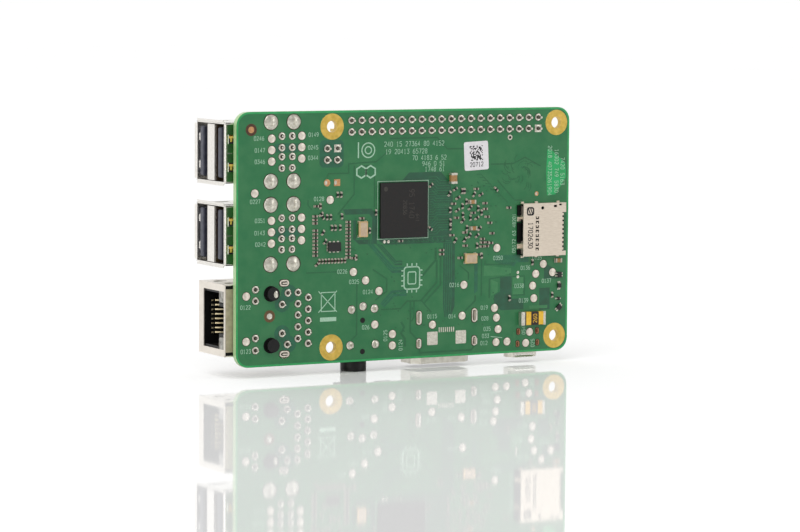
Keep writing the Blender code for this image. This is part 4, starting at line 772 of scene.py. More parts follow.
# White serial label with seeded dots that carry nothing, and plain digits
serialLabel = {"centre": (60.35, 45.3), "width": 6.3, "height": 6.5, "turn": 2.6, "dots": 13,
               "dotPitch": 0.26}
labelMesh = bmesh.new()
addTile(labelMesh, serialLabel["centre"], (serialLabel["width"], serialLabel["height"], 0.45), 0.0, 0.09,
        serialLabel["turn"])
makePiece("serial_label", labelMesh, under, "label", bevel=0.02)
ink = bmesh.new()
labelDice = random.Random(5)
for i in range(serialLabel["dots"]):
    for j in range(serialLabel["dots"]):
        if labelDice.random() < 0.5:
            place = turned([((i - 6) * serialLabel["dotPitch"], (j - 6) * serialLabel["dotPitch"] + 0.62)],
                           serialLabel["centre"], serialLabel["turn"])[0]
            addTile(ink, place, (0.25, 0.25), 0.085, 0.1, serialLabel["turn"])
addDigits(ink, "20712", turned([(0.0, -1.95)], serialLabel["centre"], serialLabel["turn"])[0], 0.95,
          serialLabel["turn"], 0.14, 0.085, 0.1)
makePiece("serial_label_ink", ink, under, "labelInk")
print("printing done")

# Soldered joints and pads of the underside
headerPitch = 2.54
tailHeight = localBox("gpio_header", under)[1].z
gapShadeHigh = 0.016                                        # height of the dark rings around pads: mask openings, darkened as painted shadow
pinPad = [(0.0, 0.0), (0.8, 0.0), (0.8, 0.05), (0.66, 0.1), (0.44, 0.1), (0.4, 0.04), (0, 0.04)]
gapShadeRing = disc(0.9, gapShadeHigh)
joints, wellShades, shanks, tips, gapShadeRings = [bmesh.new() for _ in range(5)]
gpioPins = [(28.37 + headerPitch * i, v) for i in range(20) for v in (51.23, 53.77)]
poePins = [(22.33, 47.67), (24.87, 47.67), (22.33, 45.13), (24.87, 45.13)]


def addJoint(u, v, rise, side):
    addTurned(gapShadeRings, (u, v), gapShadeRing, 20)
    addTurned(joints, (u, v), pinPad, 18, wobble=dice)
    # a dark brown dome in the middle of the joint paints the shade in its solder well
    addTurned(wellShades, (u, v), [(0, 0.03), (0.46, 0.03), (0.46, 0.075), (0.3, 0.12), (0, 0.13)], 12)
    addPin(shanks, (u, v), 0.05, rise - 0.12, side, 0.1, 0.8)
    addTurned(tips, (u, v), [(0, rise - 0.2), (side * 0.56, rise - 0.2), (side * 0.56, rise - 0.06),
                             (side * 0.36, rise), (0, rise + 0.02)], 10)


for u, v in gpioPins + poePins:
    addJoint(u, v, tailHeight + 0.08, 0.52)
for u, v in ((76.63, 51.23), (24.87, 47.67)):
    addTile(joints, (u, v), (1.7, 1.7), 0.0, 0.03)
usbPins = [(u, v) for u in (11.1, 13.65) for v in (50.6, 48.1, 46.1, 43.6, 32.6, 30.1, 28.1, 25.7)]
netPins = [(4.75, 17.1), (4.75, 14.6), (4.75, 6.4), (4.75, 3.7), (12.7, 16.1), (11.3, 13.6), (11.3, 7.2),
           (12.6, 4.7)]
netPins += [(15.2, v) for v in (16.1, 13.6, 11.1, 8.5, 5.9)] + [(17.75, v)
                                                                for v in (14.9, 12.3, 9.75, 7.2, 4.7)]
for u, v in usbPins:
    addJoint(u, v, dice.uniform(0.3, 0.75), 0.36)
for u, v in netPins:
    addJoint(u, v, dice.uniform(1.35, 1.75), 0.34)
for u, v in ((28.6, 11.7), (31.5, 12.3), (34.4, 11.7), (28.25, 3.7), (34.7, 3.7)):
    addTurned(gapShadeRings, (u, v), disc(1.0, gapShadeHigh), 20)
    addTurned(joints, (u, v), [(0, 0), (0.9, 0), (0.9, 0.06), (0.72, 0.2), (0.4, 0.3), (0, 0.33)], 18,
              wobble=dice)
makePiece("pin_joints", joints, under, "tin")
# Dark brown in each joint's middle: painted shade of the solder well round the pin
makePiece("pin_joint_well_shades", wellShades, under, "shadeBrown")
# The shanks take a darker tin than the tips of the same pins: painted shade
makePiece("pin_shanks", shanks, under, "shadedTin", bevel=0.03)
makePiece("pin_tips", tips, under, "tin")

shieldLegs = [(u, v) for u in (8.4, 14.0) for v in (53.7, 40.7, 35.6, 22.5)]
blobs = bmesh.new()
blobDice = random.Random(3)
for u, v in shieldLegs:
    reach = 1.68
    rows = [(0, 0.0), (reach, 0.0), (reach, 0.07), (reach * 0.86, 0.2), (reach * 0.6, 0.42),
            (reach * 0.33, 0.6), (0.0, 0.66)]
    addTurned(blobs, (u, v), rows, 26, wobble=blobDice)
    addTurned(gapShadeRings, (u, v), disc(reach + 0.14, gapShadeHigh), 28)
    addTile(blobs, (u + blobDice.uniform(-0.1, 0.1), v), (1.7, 0.34, 0.12, 2), 0.3, 0.9,
            90 * blobDice.randint(0, 1))
roundBlobs = makePiece("shield_leg_joints", blobs, under, "tin")
softening = roundBlobs.modifiers.new("softSolder", "SUBSURF")
softening.levels = softening.render_levels = 1

ovals, shortOvals = bmesh.new(), bmesh.new()
holeShades = bmesh.new()
ovalLegs = [(11.8, 18.3, 2.3, 1.4), (11.9, 2.6, 2.4, 1.4), (45.8, 9.1, 1.3, 3.1), (60.2, 9.1, 1.3, 3.1),
            (45.8, 3.3, 1.2, 2.2),
            (60.2, 3.3, 1.2, 2.2), (71.9, 4.8, 0.85, 1.35), (76.9, 4.8, 0.85, 1.35),
            (71.7, 2.0, 0.85, 1.35), (77.0, 2.1, 0.85, 1.35)]
for u, v, width, height in ovalLegs:
    radius = min(width, height) / 2
    outline = turned(rectangle(width, height, radius * 0.98, 5), (u, v), 0)
    inside = turned(rectangle(width - radius * 0.95, height - radius * 0.95, radius * 0.5, 5), (u, v), 0)
    addPlate(shortOvals if width < 1.0 else ovals, outline, [inside], 0.0, 0.12)
    addPrism(holeShades, inside, 0.0, 0.035)
    slim = turned(rectangle(max(0.25, width - radius * 1.6), max(0.25, height - radius * 1.6)), (u, v), 0)
    addPrism(shortOvals if width < 1.0 else ovals, slim, 0.0, 0.45)
for u, v, width, height in ovalLegs:
    addTile(gapShadeRings, (u, v), (width + 0.28, height + 0.28, min(width, height) / 2, 5), 0.0, 0.014)
makePiece("oval_leg_joints", ovals, under, "testPad", bevel=0.05)
makePiece("power_socket_leg_joints", shortOvals, under, "agedCopper", bevel=0.05)
for u, v, radius in ((31.4, 9.2, 0.62), (31.4, 2.2, 0.62), (69.3, 49.3, 0.3)):
    addTurned(holeShades, (u, v), disc(radius, 0.03), 20)
# Black discs inside the oval leg rings, on the audio peg holes and on one test pad's hole: painted shade
# inside the holes
makePiece("peg_hole_shades", holeShades, under, "blackPlastic")

testPads = [(8.6, 50.1), (8.6, 47.6), (8.6, 45.1), (16, 50.6), (16, 48.1), (16, 45.6), (8.6, 32.1),
            (8.6, 29.6), (8.6, 27.1),
            (16, 32.6), (16, 30.1), (16, 27.6), (4.5, 38.2), (2.5, 15.7), (2.5, 5.75), (23.1, 36.3),
            (29, 20.1), (32.1, 18.1),
            (35.5, 15.6), (34.5, 8.1), (39, 5.75), (39, 3.2), (49.3, 7.4), (57.4, 16.1), (57, 9.1),
            (65.5, 10.5), (66.05, 8.25),
            (66.5, 5.6), (66, 2.65), (68.9, 2.65), (66, 24.2), (78.4, 20.1), (76.4, 17.9), (80.9, 18.1),
            (75.6, 15.2),
            (75.95, 12.3), (74.9, 4.6), (73.9, 2.1)]
pads = bmesh.new()
for u, v in testPads:
    addTurned(pads, (u, v), [(0, 0), (0.9, 0.0), (0.9, 0.03), (0.78, 0.09), (0.4, 0.13), (0, 0.14)], 24)
makePiece("test_pads", pads, under, "testPad")
for u, v in testPads:
    addTurned(gapShadeRings, (u, v), disc(1.02, gapShadeHigh), 24)
# Dark brown rings round pads and legs: the mask openings, darkened further as painted shadow
makePiece("mask_gap_shade_rings", gapShadeRings, under, "shadeBrown")
for name, u, v, look in (("upper", 3.6, 52.1, "brownMask"), ("lower", 8.2, 11.1, "umberMask")):
    halo = bmesh.new()
    addTurned(halo, (u, v), disc(1.35, 0.02), 28)
    makePiece(name + "_fiducial_ring", halo, under, look)
copperDots = bmesh.new()
for u, v, radius in ((3.6, 52.1, 0.72), (76.4, 36.3, 0.5), (22.3, 40.1, 0.78)):
    addTurned(copperDots, (u, v), [(0, 0), (radius, 0), (radius, 0.04), (radius * 0.8, 0.06), (0, 0.06)],
              24)
addTile(copperDots, (24.8, 40.1), (1.5, 1.5), 0.0, 0.05)
makePiece("copper_dots", copperDots, under, "copper")
flatTin = bmesh.new()
for u in (49.3, 56.7):
    addTile(flatTin, (u, 4.3), (2.7, 3.0, 0.2), 0.0, 0.05)
for i in range(8):
    addTile(flatTin, (51.05 + i * 0.535, 6.15), (0.24, 1.1), 0.0, 0.05)
for u, v in ((36.8, 26.55), (37.8, 26.55), (71.6, 18.4), (71.6, 17.4)):
    addTurned(flatTin, (u, v), [(0, 0), (0.36, 0), (0.36, 0.05), (0.25, 0.09), (0, 0.1)], 12)
addTurned(flatTin, (8.2, 11.1), [(0, 0), (0.66, 0), (0.66, 0.06), (0.4, 0.1), (0, 0.11)], 20)
addTurned(flatTin, (69.2, 49.3), [(0.33, 0), (0.62, 0), (0.62, 0.05), (0.33, 0.05)], 20, loop=True)
for u, v in ((22.0, 40.1), (24.4, 40.1)):
    addTurned(flatTin, (u, v), [(0, 0.03), (0.4, 0.03), (0.38, 0.09), (0, 0.12)], 14, (0.8, 1.3))
addTurned(flatTin, (76.3, 36.3), [(0, 0.05), (0.3, 0.05), (0.26, 0.09), (0, 0.1)], 14)
makePiece("flat_tinned_pads", flatTin, under, "tin", bevel=0.015)

pegHoleShades, pegs = bmesh.new(), bmesh.new()
for u, v in ((8.5, 16.05), (8.5, 4.65)):
    # a near-black disc round the peg paints the shade in its hole
    addTurned(pegHoleShades, (u, v), disc(1.74, 0.03), 32)
    addTurned(pegs, (u + 0.25, v), [(0, 0.0), (1.3, 0.0), (1.38, 0.5), (1.15, 0.85), (0.9, 0.7), (0, 0.62)],
              28, wobble=dice)
makePiece("network_peg_hole_shades", pegHoleShades, under, "shadeBlack")
makePiece("network_peg_ends", pegs, under, "blackPlastic", bevel=0.05)
splash = bmesh.new()
addTurned(splash, (9.35, 15.95), [(0, 0.5), (0.98, 0.5), (0.92, 0.74), (0.5, 0.98), (0, 1.0)], 14,
          (0.8, 1.25), wobble=random.Random(8))
makePiece("peg_solder_splash", splash, under, "tin")
print("underside solder done")

# Small two-terminal parts: u or x, v or y, turn; every one is a body, two end caps and two fillets
smallSizes = {"tiny": (0.82, 0.52, 0.36), "small": (1.02, 0.52, 0.38), "medium": (1.7, 0.95, 0.6)}


def addSmallPart(bodies, ends, u, v, angle, size="small"):
    length, width, height = smallSizes[size]
    cap = length * 0.24
    addTile(bodies, (u, v), (length - 2 * cap, width * 0.94), 0.02, height * 0.96, angle)
    for side in (-1, 1):
        middle = turned([(side * (length - cap) / 2, 0)], (u, v), angle)[0]
        addTile(ends, middle, (cap, width), 0.02, height, angle)
        foot = turned([(side * (length / 2 + 0.04), 0)], (u, v), angle)[0]
        addTile(ends, foot, (0.3, width * 1.02), 0.0, height * 0.32, angle)


def makeSmallParts(name, parts, place, body, size="small"):
    bodies, ends = bmesh.new(), bmesh.new()
    for u, v, angle in parts:
        addSmallPart(bodies, ends, u, v, angle, size)
    makePiece(name + "_bodies", bodies, place, body, bevel=0.05)
    makePiece(name + "_terminals", ends, place, "fadedTin", bevel=0.07)


capRing = [(19.4, 24.1 + i * 0.79, 0) for i in range(8)] + [(19.3, 31.2 + i * 0.79, 0) for i in range(3)]
capRing += [(27.6, 23.4 + i * 0.79, 0) for i in range(11)]
capRow = [(20.4 + i * 0.8, 22.75, 90) for i in range(9)] + [(19.8, 22.1, 45)]
looseCaps = [(19.6, 35.0, 0), (20.6, 35.0, 90), (28.9, 23.2, 0), (29.6, 23.3, 90), (54.5, 34.6, 0),
             (62.7, 34.5, 0), (60.4, 37.8, 0),
             (62.8, 33.2, 0), (55.3, 31.4, 0), (63.3, 31.4, 0), (64.0, 30.0, 0), (57.5, 28.0, 0),
             (54.1, 27.5, 0), (64.6, 27.6, 0),
             (62.1, 26.4, 0), (63.3, 25.6, 0), (62.1, 25.6, 0), (64.3, 25.4, 0), (62.0, 24.7, 0),
             (63.2, 24.7, 0), (57.6, 25.0, 0),
             (51.5, 24.2, 0), (51.5, 23.3, 0), (31.0, 32.0, 0), (61.1, 22.9, 0), (56.3, 22.3, 0)]
looseResistors = [(20.8, 33.2, 45), (21.2, 32.6, 120), (22.3, 32.5, 90), (23.2, 32.5, 90), (26.0, 32.6, 90),
                  (23.5, 30.1, 90), (24.4, 30.1, 90),
                  (25.6, 30.1, 90), (21.3, 29.1, 60), (21.8, 27.1, 60), (24.9, 37.4, 90), (25.8, 37.4, 90),
                  (33.0, 29.2, 90), (34.6, 33.2, 90),
                  (48.6, 38.9, 40), (48.5, 29.2, -40), (40.9, 26.6, 0), (65.6, 37.6, -45), (69.0, 33.3, 0),
                  (75.4, 20.6, 90), (69.4, 12.6, 90),
                  (80.8, 12.9, 90), (53.4, 36.9, 60), (54.9, 37.9, 30), (56.7, 37.4, 90), (57.3, 37.4, 90),
                  (59.8, 36.6, 60), (61.6, 36.5, 30),
                  (55.6, 35.9, 30), (57.8, 35.0, 90), (56.8, 34.0, 90), (58.8, 33.6, 45), (60.9, 33.4, 90),
                  (61.8, 32.4, 90), (53.6, 33.2, 90),
                  (55.5, 33.1, 35), (56.9, 32.0, 90), (53.7, 30.6, 90), (56.9, 30.7, 45), (58.9, 31.3, 90),
                  (60.6, 31.2, 30), (53.7, 29.3, 90),
                  (58.0, 29.0, 90), (61.3, 28.8, 45), (58.7, 27.3, 60), (60.7, 27.2, 45), (55.0, 26.3, 60),
                  (57.5, 26.4, 60), (60.7, 24.9, 90),
                  (61.9, 22.6, 90), (59.6, 32.4, 0)]
makeSmallParts("underside_capacitors", capRing + looseCaps, under, "brownCeramic")
makeSmallParts("underside_row_capacitors", capRow, under, "brownCeramic", "tiny")
makeSmallParts("underside_resistors", looseResistors, under, "darkResistor")
makeSmallParts("underside_large_capacitors", [(59.3, 34.9, 0), (59.7, 28.9, 0), (82.3, 20.8, 0)], under,
               "tanCeramic", "medium")

# Small moulded parts with legs: centre, length across the legs, width, legs each side, turn
smallChips = ((82.6, 17.5, 1.0, 1.3, 2, 0), (82.6, 15.0, 1.0, 0.9, 2, 90), (82.4, 12.0, 0.5, 0.7, 1, 0),
              (82.6, 10.0, 1.1, 1.1, 2, 45))


def makeLeggedChips(name, chips, place, height=0.6):
    bodies, legs = bmesh.new(), bmesh.new()
    for u, v, length, width, count, angle in chips:
        addTile(bodies, (u, v), (length, width), 0.08, height, angle)
        for side in (-1, 1):
            for i in range(count):
                step = (i - (count - 1) / 2) * width / (count + 0.2)
                foot = turned([(side * (length / 2 + 0.28), step)], (u, v), angle)[0]
                shank = turned([(side * (length / 2 + 0.06), step)], (u, v), angle)[0]
                addTile(legs, foot, (0.42, 0.3), 0.0, 0.12, angle)
                addTile(legs, shank, (0.2, 0.28), 0.05, height * 0.55, angle)
    makePiece(name + "_bodies", bodies, place, "blackEpoxy", bevel=0.06)
    makePiece(name + "_legs", legs, place, "tin", bevel=0.03)


makeLeggedChips("underside_small_chips", smallChips, under)


def markChip(node, place, lines):  # digits and an orientation dot on a chip's face
    low, high = localBox(node, place)
    middle = middleOf(low, high)
    marks = bmesh.new()
    tall = (high.y - low.y) * 0.11
    for i, text in enumerate(lines):
        addDigits(marks, text, (middle[0], middle[1] + ((len(lines) - 1) / 2 - i) * tall * 1.7), tall, 0,
                  tall * 0.13,
                  high.z - markFoot, high.z + markHead)
    corner = (low.x + (high.x - low.x) * 0.14, high.y - (high.y - low.y) * 0.14)
    addTurned(marks, corner, disc(tall * 0.42, high.z + markHead, high.z - markFoot), 16)
    makePiece(node + "_marks", marks, place, "laserMark")


chipTop = localBox("memory_chip", under)[1].z
chipMarks = bmesh.new()
for text, u, v, height in (("95 1740", 43.2, 35.0, 1.25), ("20836", 41.5, 34.2, 0.9),
                           ("641", 44.7, 31.8, 0.8)):
    addDigits(chipMarks, text, (u, v), height, -90, 0.14, chipTop - 0.01, chipTop + 0.006)
addTurned(chipMarks, (36.6, 38.4), disc(0.52, chipTop + markHead, chipTop - markFoot), 20)
makePiece("memory_chip_marks", chipMarks, under, "faintMark")


def makeSurroundingFillets(node, place, count, reach=0.28):  # solder at the four sides of a chip
    low, high = localBox(node, place)
    fillets = bmesh.new()
    for i in range(count):
        share = (i + 0.5) / count
        x = low.x + (high.x - low.x) * share
        y = low.y + (high.y - low.y) * share
        width = (high.x - low.x) / count * 0.27
        for outline in (box2((x - width, low.y - reach), (x + width, low.y + 0.05)),
                        box2((x - width, high.y - 0.05), (x + width, high.y + reach)),
                        box2((low.x - reach, y - width), (low.x + 0.05, y + width)),
                        box2((high.x - 0.05, y - width), (high.x + reach, y + width))):
            addPrism(fillets, outline, 0.0, 0.2)
    makePiece(node + "_fillets", fillets, place, "tin", bevel=0.02)


makeSurroundingFillets("core_regulator", under, 3)


def makeEndFillets(node, place, share=0.2):  # wrapped terminals at the ends of a long block
    low, high = localBox(node, place)
    caps = bmesh.new()
    lift = 0.03
    long = (high.x - low.x) >= (high.y - low.y)
    for side in (0, 1):
        near, far = Vector(low), Vector(high)
        axis = 0 if long else 1
        cap = (high[axis] - low[axis]) * share
        if side:
            near[axis] = high[axis] - cap
        else:
            far[axis] = low[axis] + cap
        addBox(caps, (near.x - lift, near.y - lift, 0.0), (far.x + lift, far.y + lift, far.z + lift))
    makePiece(node + "_terminals", caps, place, "tin", bevel=0.08)


makeEndFillets("bulk_capacitor", under)


def makeCrystalSeam(node, place):  # the lid's welded step and the four corner pads
    low, high = localBox(node, place)
    seam = bmesh.new()
    middle = middleOf(low, high)
    lid = bmesh.new()
    addTile(lid, middle, (high.x - low.x - 0.55, high.y - low.y - 0.5, 0.3, 4), high.z - 0.02,
            high.z + 0.05)
    makePiece(node + "_lid", lid, place, "crystalLid", bevel=0.04)
    for a in (low.x + 0.28, high.x - 0.28):
        for b in (low.y + 0.2, high.y - 0.2):
            addTile(seam, (a, b), (0.7, 0.6), 0.0, 0.1)
    makePiece(node + "_seam", seam, place, "tin", bevel=0.02)


makeCrystalSeam("processor_crystal", under)
makeCrystalSeam("controller_clock", under)

# Fuse: silver ends, a black and a dark band, digits
fuseLow, fuseHigh = localBox("input_fuse", under)
fuseSpan = fuseHigh.x - fuseLow.x
fuseBands = (("terminal_1", 0.0, 0.15, "tin"), ("terminal_2", 0.91, 1.0, "tin"),
             ("notch", 0.15, 0.2, "blackEpoxy"), ("field", 0.4, 0.72, "fuseBrown"))
for name, start, end, look in fuseBands:
    band = bmesh.new()
    lift = 0.05 if look == "tin" else 0.02
    addBox(band, (fuseLow.x + fuseSpan * start - lift * (start == 0), fuseLow.y - lift, 0.0 if look == "tin"
                  else 0.5),
           (fuseLow.x + fuseSpan * end + lift * (end == 1), fuseHigh.y + lift, fuseHigh.z + lift))
    makePiece("input_fuse_" + name, band, under, look,
              bevel=0.06)
fuseDigits = bmesh.new()
addDigits(fuseDigits, "260", (fuseLow.x + fuseSpan * 0.56, middleOf(fuseLow, fuseHigh)[1]), 0.95, 90, 0.12,
          fuseHigh.z + 0.01, fuseHigh.z + 0.04)
makePiece("input_fuse_digits", fuseDigits, under, "fuseYellow")
print("underside parts done")

# Memory-card socket: pressed cover with slots, tabs and a comb at the rear, over the CAD base
cardLow, cardHigh = localBox("card_socket_cover", under)
cardSocket = {"wall": 0.2, "tab": (0.7, 0.35), "windows": 8, "windowPitch": 1.02, "teeth": 9,
              "toothDepth": 0.35}
cover = bmesh.new()
left, right, foot, head = cardLow.x + 0.2, cardHigh.x, cardLow.y, cardHigh.y
teethEdge = right - 1.0
outline = [(left, foot), (right, foot), (right, foot + 1.0), (teethEdge, foot + 1.0)]
toothPitch = (head - 2.2 - foot - 1.0) / cardSocket["teeth"]
for i in range(cardSocket["teeth"]):
    v = foot + 1.0 + i * toothPitch
    reach = teethEdge + cardSocket["toothDepth"]
    outline += [(teethEdge, v + 0.25 * toothPitch), (reach, v + 0.25 * toothPitch),
                (reach, v + 0.8 * toothPitch), (teethEdge, v + 0.8 * toothPitch)]
outline += [(teethEdge, head - 2.2), (right, head - 2.2), (right, head), (left, head)]
holes = [arc((left + 5.1, head - 1.1), 0.4, 0, 330, 11),
         box2((left + 8.1, head - 1.0), (left + 8.9, head - 0.5)),
         box2((left + 9.5, head - 0.65), (left + 10.2, head - 0.25))]
plateLow = cardHigh.z - cardSocket["wall"]
for i in range(cardSocket["windows"]):
    v = foot + 1.3 + i * cardSocket["windowPitch"]
    holes.append(box2((left + 3.3, v), (left + 4.15, v + 0.66)))
    addBox(cover, (left + 3.55, v + 0.28 * (i % 2), plateLow),
           (left + 3.9, v + 0.38 + 0.28 * (i % 2), cardHigh.z - 0.03))
addPlate(cover, outline, holes, plateLow, cardHigh.z)
wallTop = cardHigh.z - cardSocket["wall"] / 2
addBox(cover, (left, foot, 0.05), (right, foot + cardSocket["wall"], wallTop))
addBox(cover, (left, head - cardSocket["wall"], 0.05), (right, head, wallTop))
for v in (foot + 0.5, head - 3.6):
    addBox(cover, (left, v, 0.05), (left + cardSocket["wall"], v + 3.0, wallTop))
for u in (left + 0.1, left + 3.8, left + 9.6):
    addBox(cover, (u, head - 0.1, 0.0), (u + cardSocket["tab"][0], head + cardSocket["tab"][1], 0.3))
    addBox(cover, (u, foot - cardSocket["tab"][1], 0.0), (u + cardSocket["tab"][0], foot + 0.1, 0.3))
for v in (30.6, 24.4):
    addBox(cover, (left - 0.9, v - 0.5, 0.0), (left + 0.1, v + 0.5, 0.3))
makePiece("card_socket_pressed_cover", cover, under, "warmSteel", ["card_socket_cover"],
          bevel=0.04)
# Near-black blocks paint the shade inside the socket and the shadow along its left side
inside = bmesh.new()
addBox(inside, (left + 0.25, foot + 0.25, 0.6), (teethEdge + 0.5, head - 0.25, cardHigh.z - 0.35))
for start, end in ((foot + 0.4, 23.6), (25.2, 29.8), (31.4, head - 0.4)):
    addBox(inside, (left - 0.9, start, 0.0), (left - 0.02, end, 0.5))
makePiece("card_socket_inside_shade", inside, under, "shadeBlack", bevel=0.05)
cardMarks = bmesh.new()
printLow, printHigh = cardHigh.z - 0.01, cardHigh.z + 0.012
badge = (left + 1.85, head - 1.8)
addRibbon(cardMarks, turned(rectangle(1.6, 1.6, 0.4, 3), badge, 0), 0.36, printLow, printHigh, closed=True)
for shift in (-0.3, 0.3):
    addRibbon(cardMarks, [(badge[0] - 0.25 + shift, badge[1] + 0.6),
                          (badge[0] + 0.25 + shift, badge[1] - 0.6)], 0.28, printLow, printHigh - 0.003)
addDigits(cardMarks, "1702630", (left + 1.9, 26.9), 1.15, -90, 0.18, printLow, printHigh)
makePiece("card_socket_digits", cardMarks, under, "labelInk")
cardFingers = bmesh.new()
for i in range(8):
    v = foot + 1.7 + i * 1.1
    addBox(cardFingers, (teethEdge + 0.5, v, 0.42), (right - 0.15, v + 0.4, 0.6))
# the fingers under the cover take the darker tin as painted shade
makePiece("card_socket_fingers", cardFingers, under, "shadedTin", bevel=0.03)
print("card socket done")

# Stacked USB sockets. In the top frame x runs to the mouth and h away from the board.
usbSocket = {
    "width": 13.2,
    "wall": 0.3,
    "lip": 0.65,
    "window": (2.0, 6.4),
    "windowFromMouth": 0.55,
    "windowFromMiddle": 3.05,
    "tongueWidth": 11.1,
    "tongueBevel": 0.32,
    "springWidth": 1.5,
}


def addFlare(mesh, edge, mouth, sign, low, high, along, lip, wall):
    # a curled lip at the mouth: a bent strip whose inner side starts on the wall
    path = [(mouth - 1.1, edge - sign * wall / 2), (mouth - 0.65, edge - sign * wall / 2),
            (mouth - 0.4, edge + sign * 0.02),
            (mouth - 0.22, edge + sign * lip * 0.42), (mouth - 0.14, edge + sign * (lip - wall * 0.4))]
    if along == "y":
        addRibbon(mesh, path, wall * 0.85, low, high, "y")
    else:
        left, right = ribbonOutline(path, wall * 0.85)
        addPrism(mesh, left + right[::-1], low, high, "h")


def addSpring(mesh, back, front, rest, dip, low, high, along):
    # a leaf spring cut from a wall: it dips into the port and comes back out at its tip
    path = [(back, rest), (back + (front - back) * 0.3, rest + dip * 0.4),
            (back + (front - back) * 0.66, rest + dip),
            (back + (front - back) * 0.86, rest + dip * 0.85), (front, rest + dip * 0.1)]
    addRibbon(mesh, path, 0.16, low, high, along)


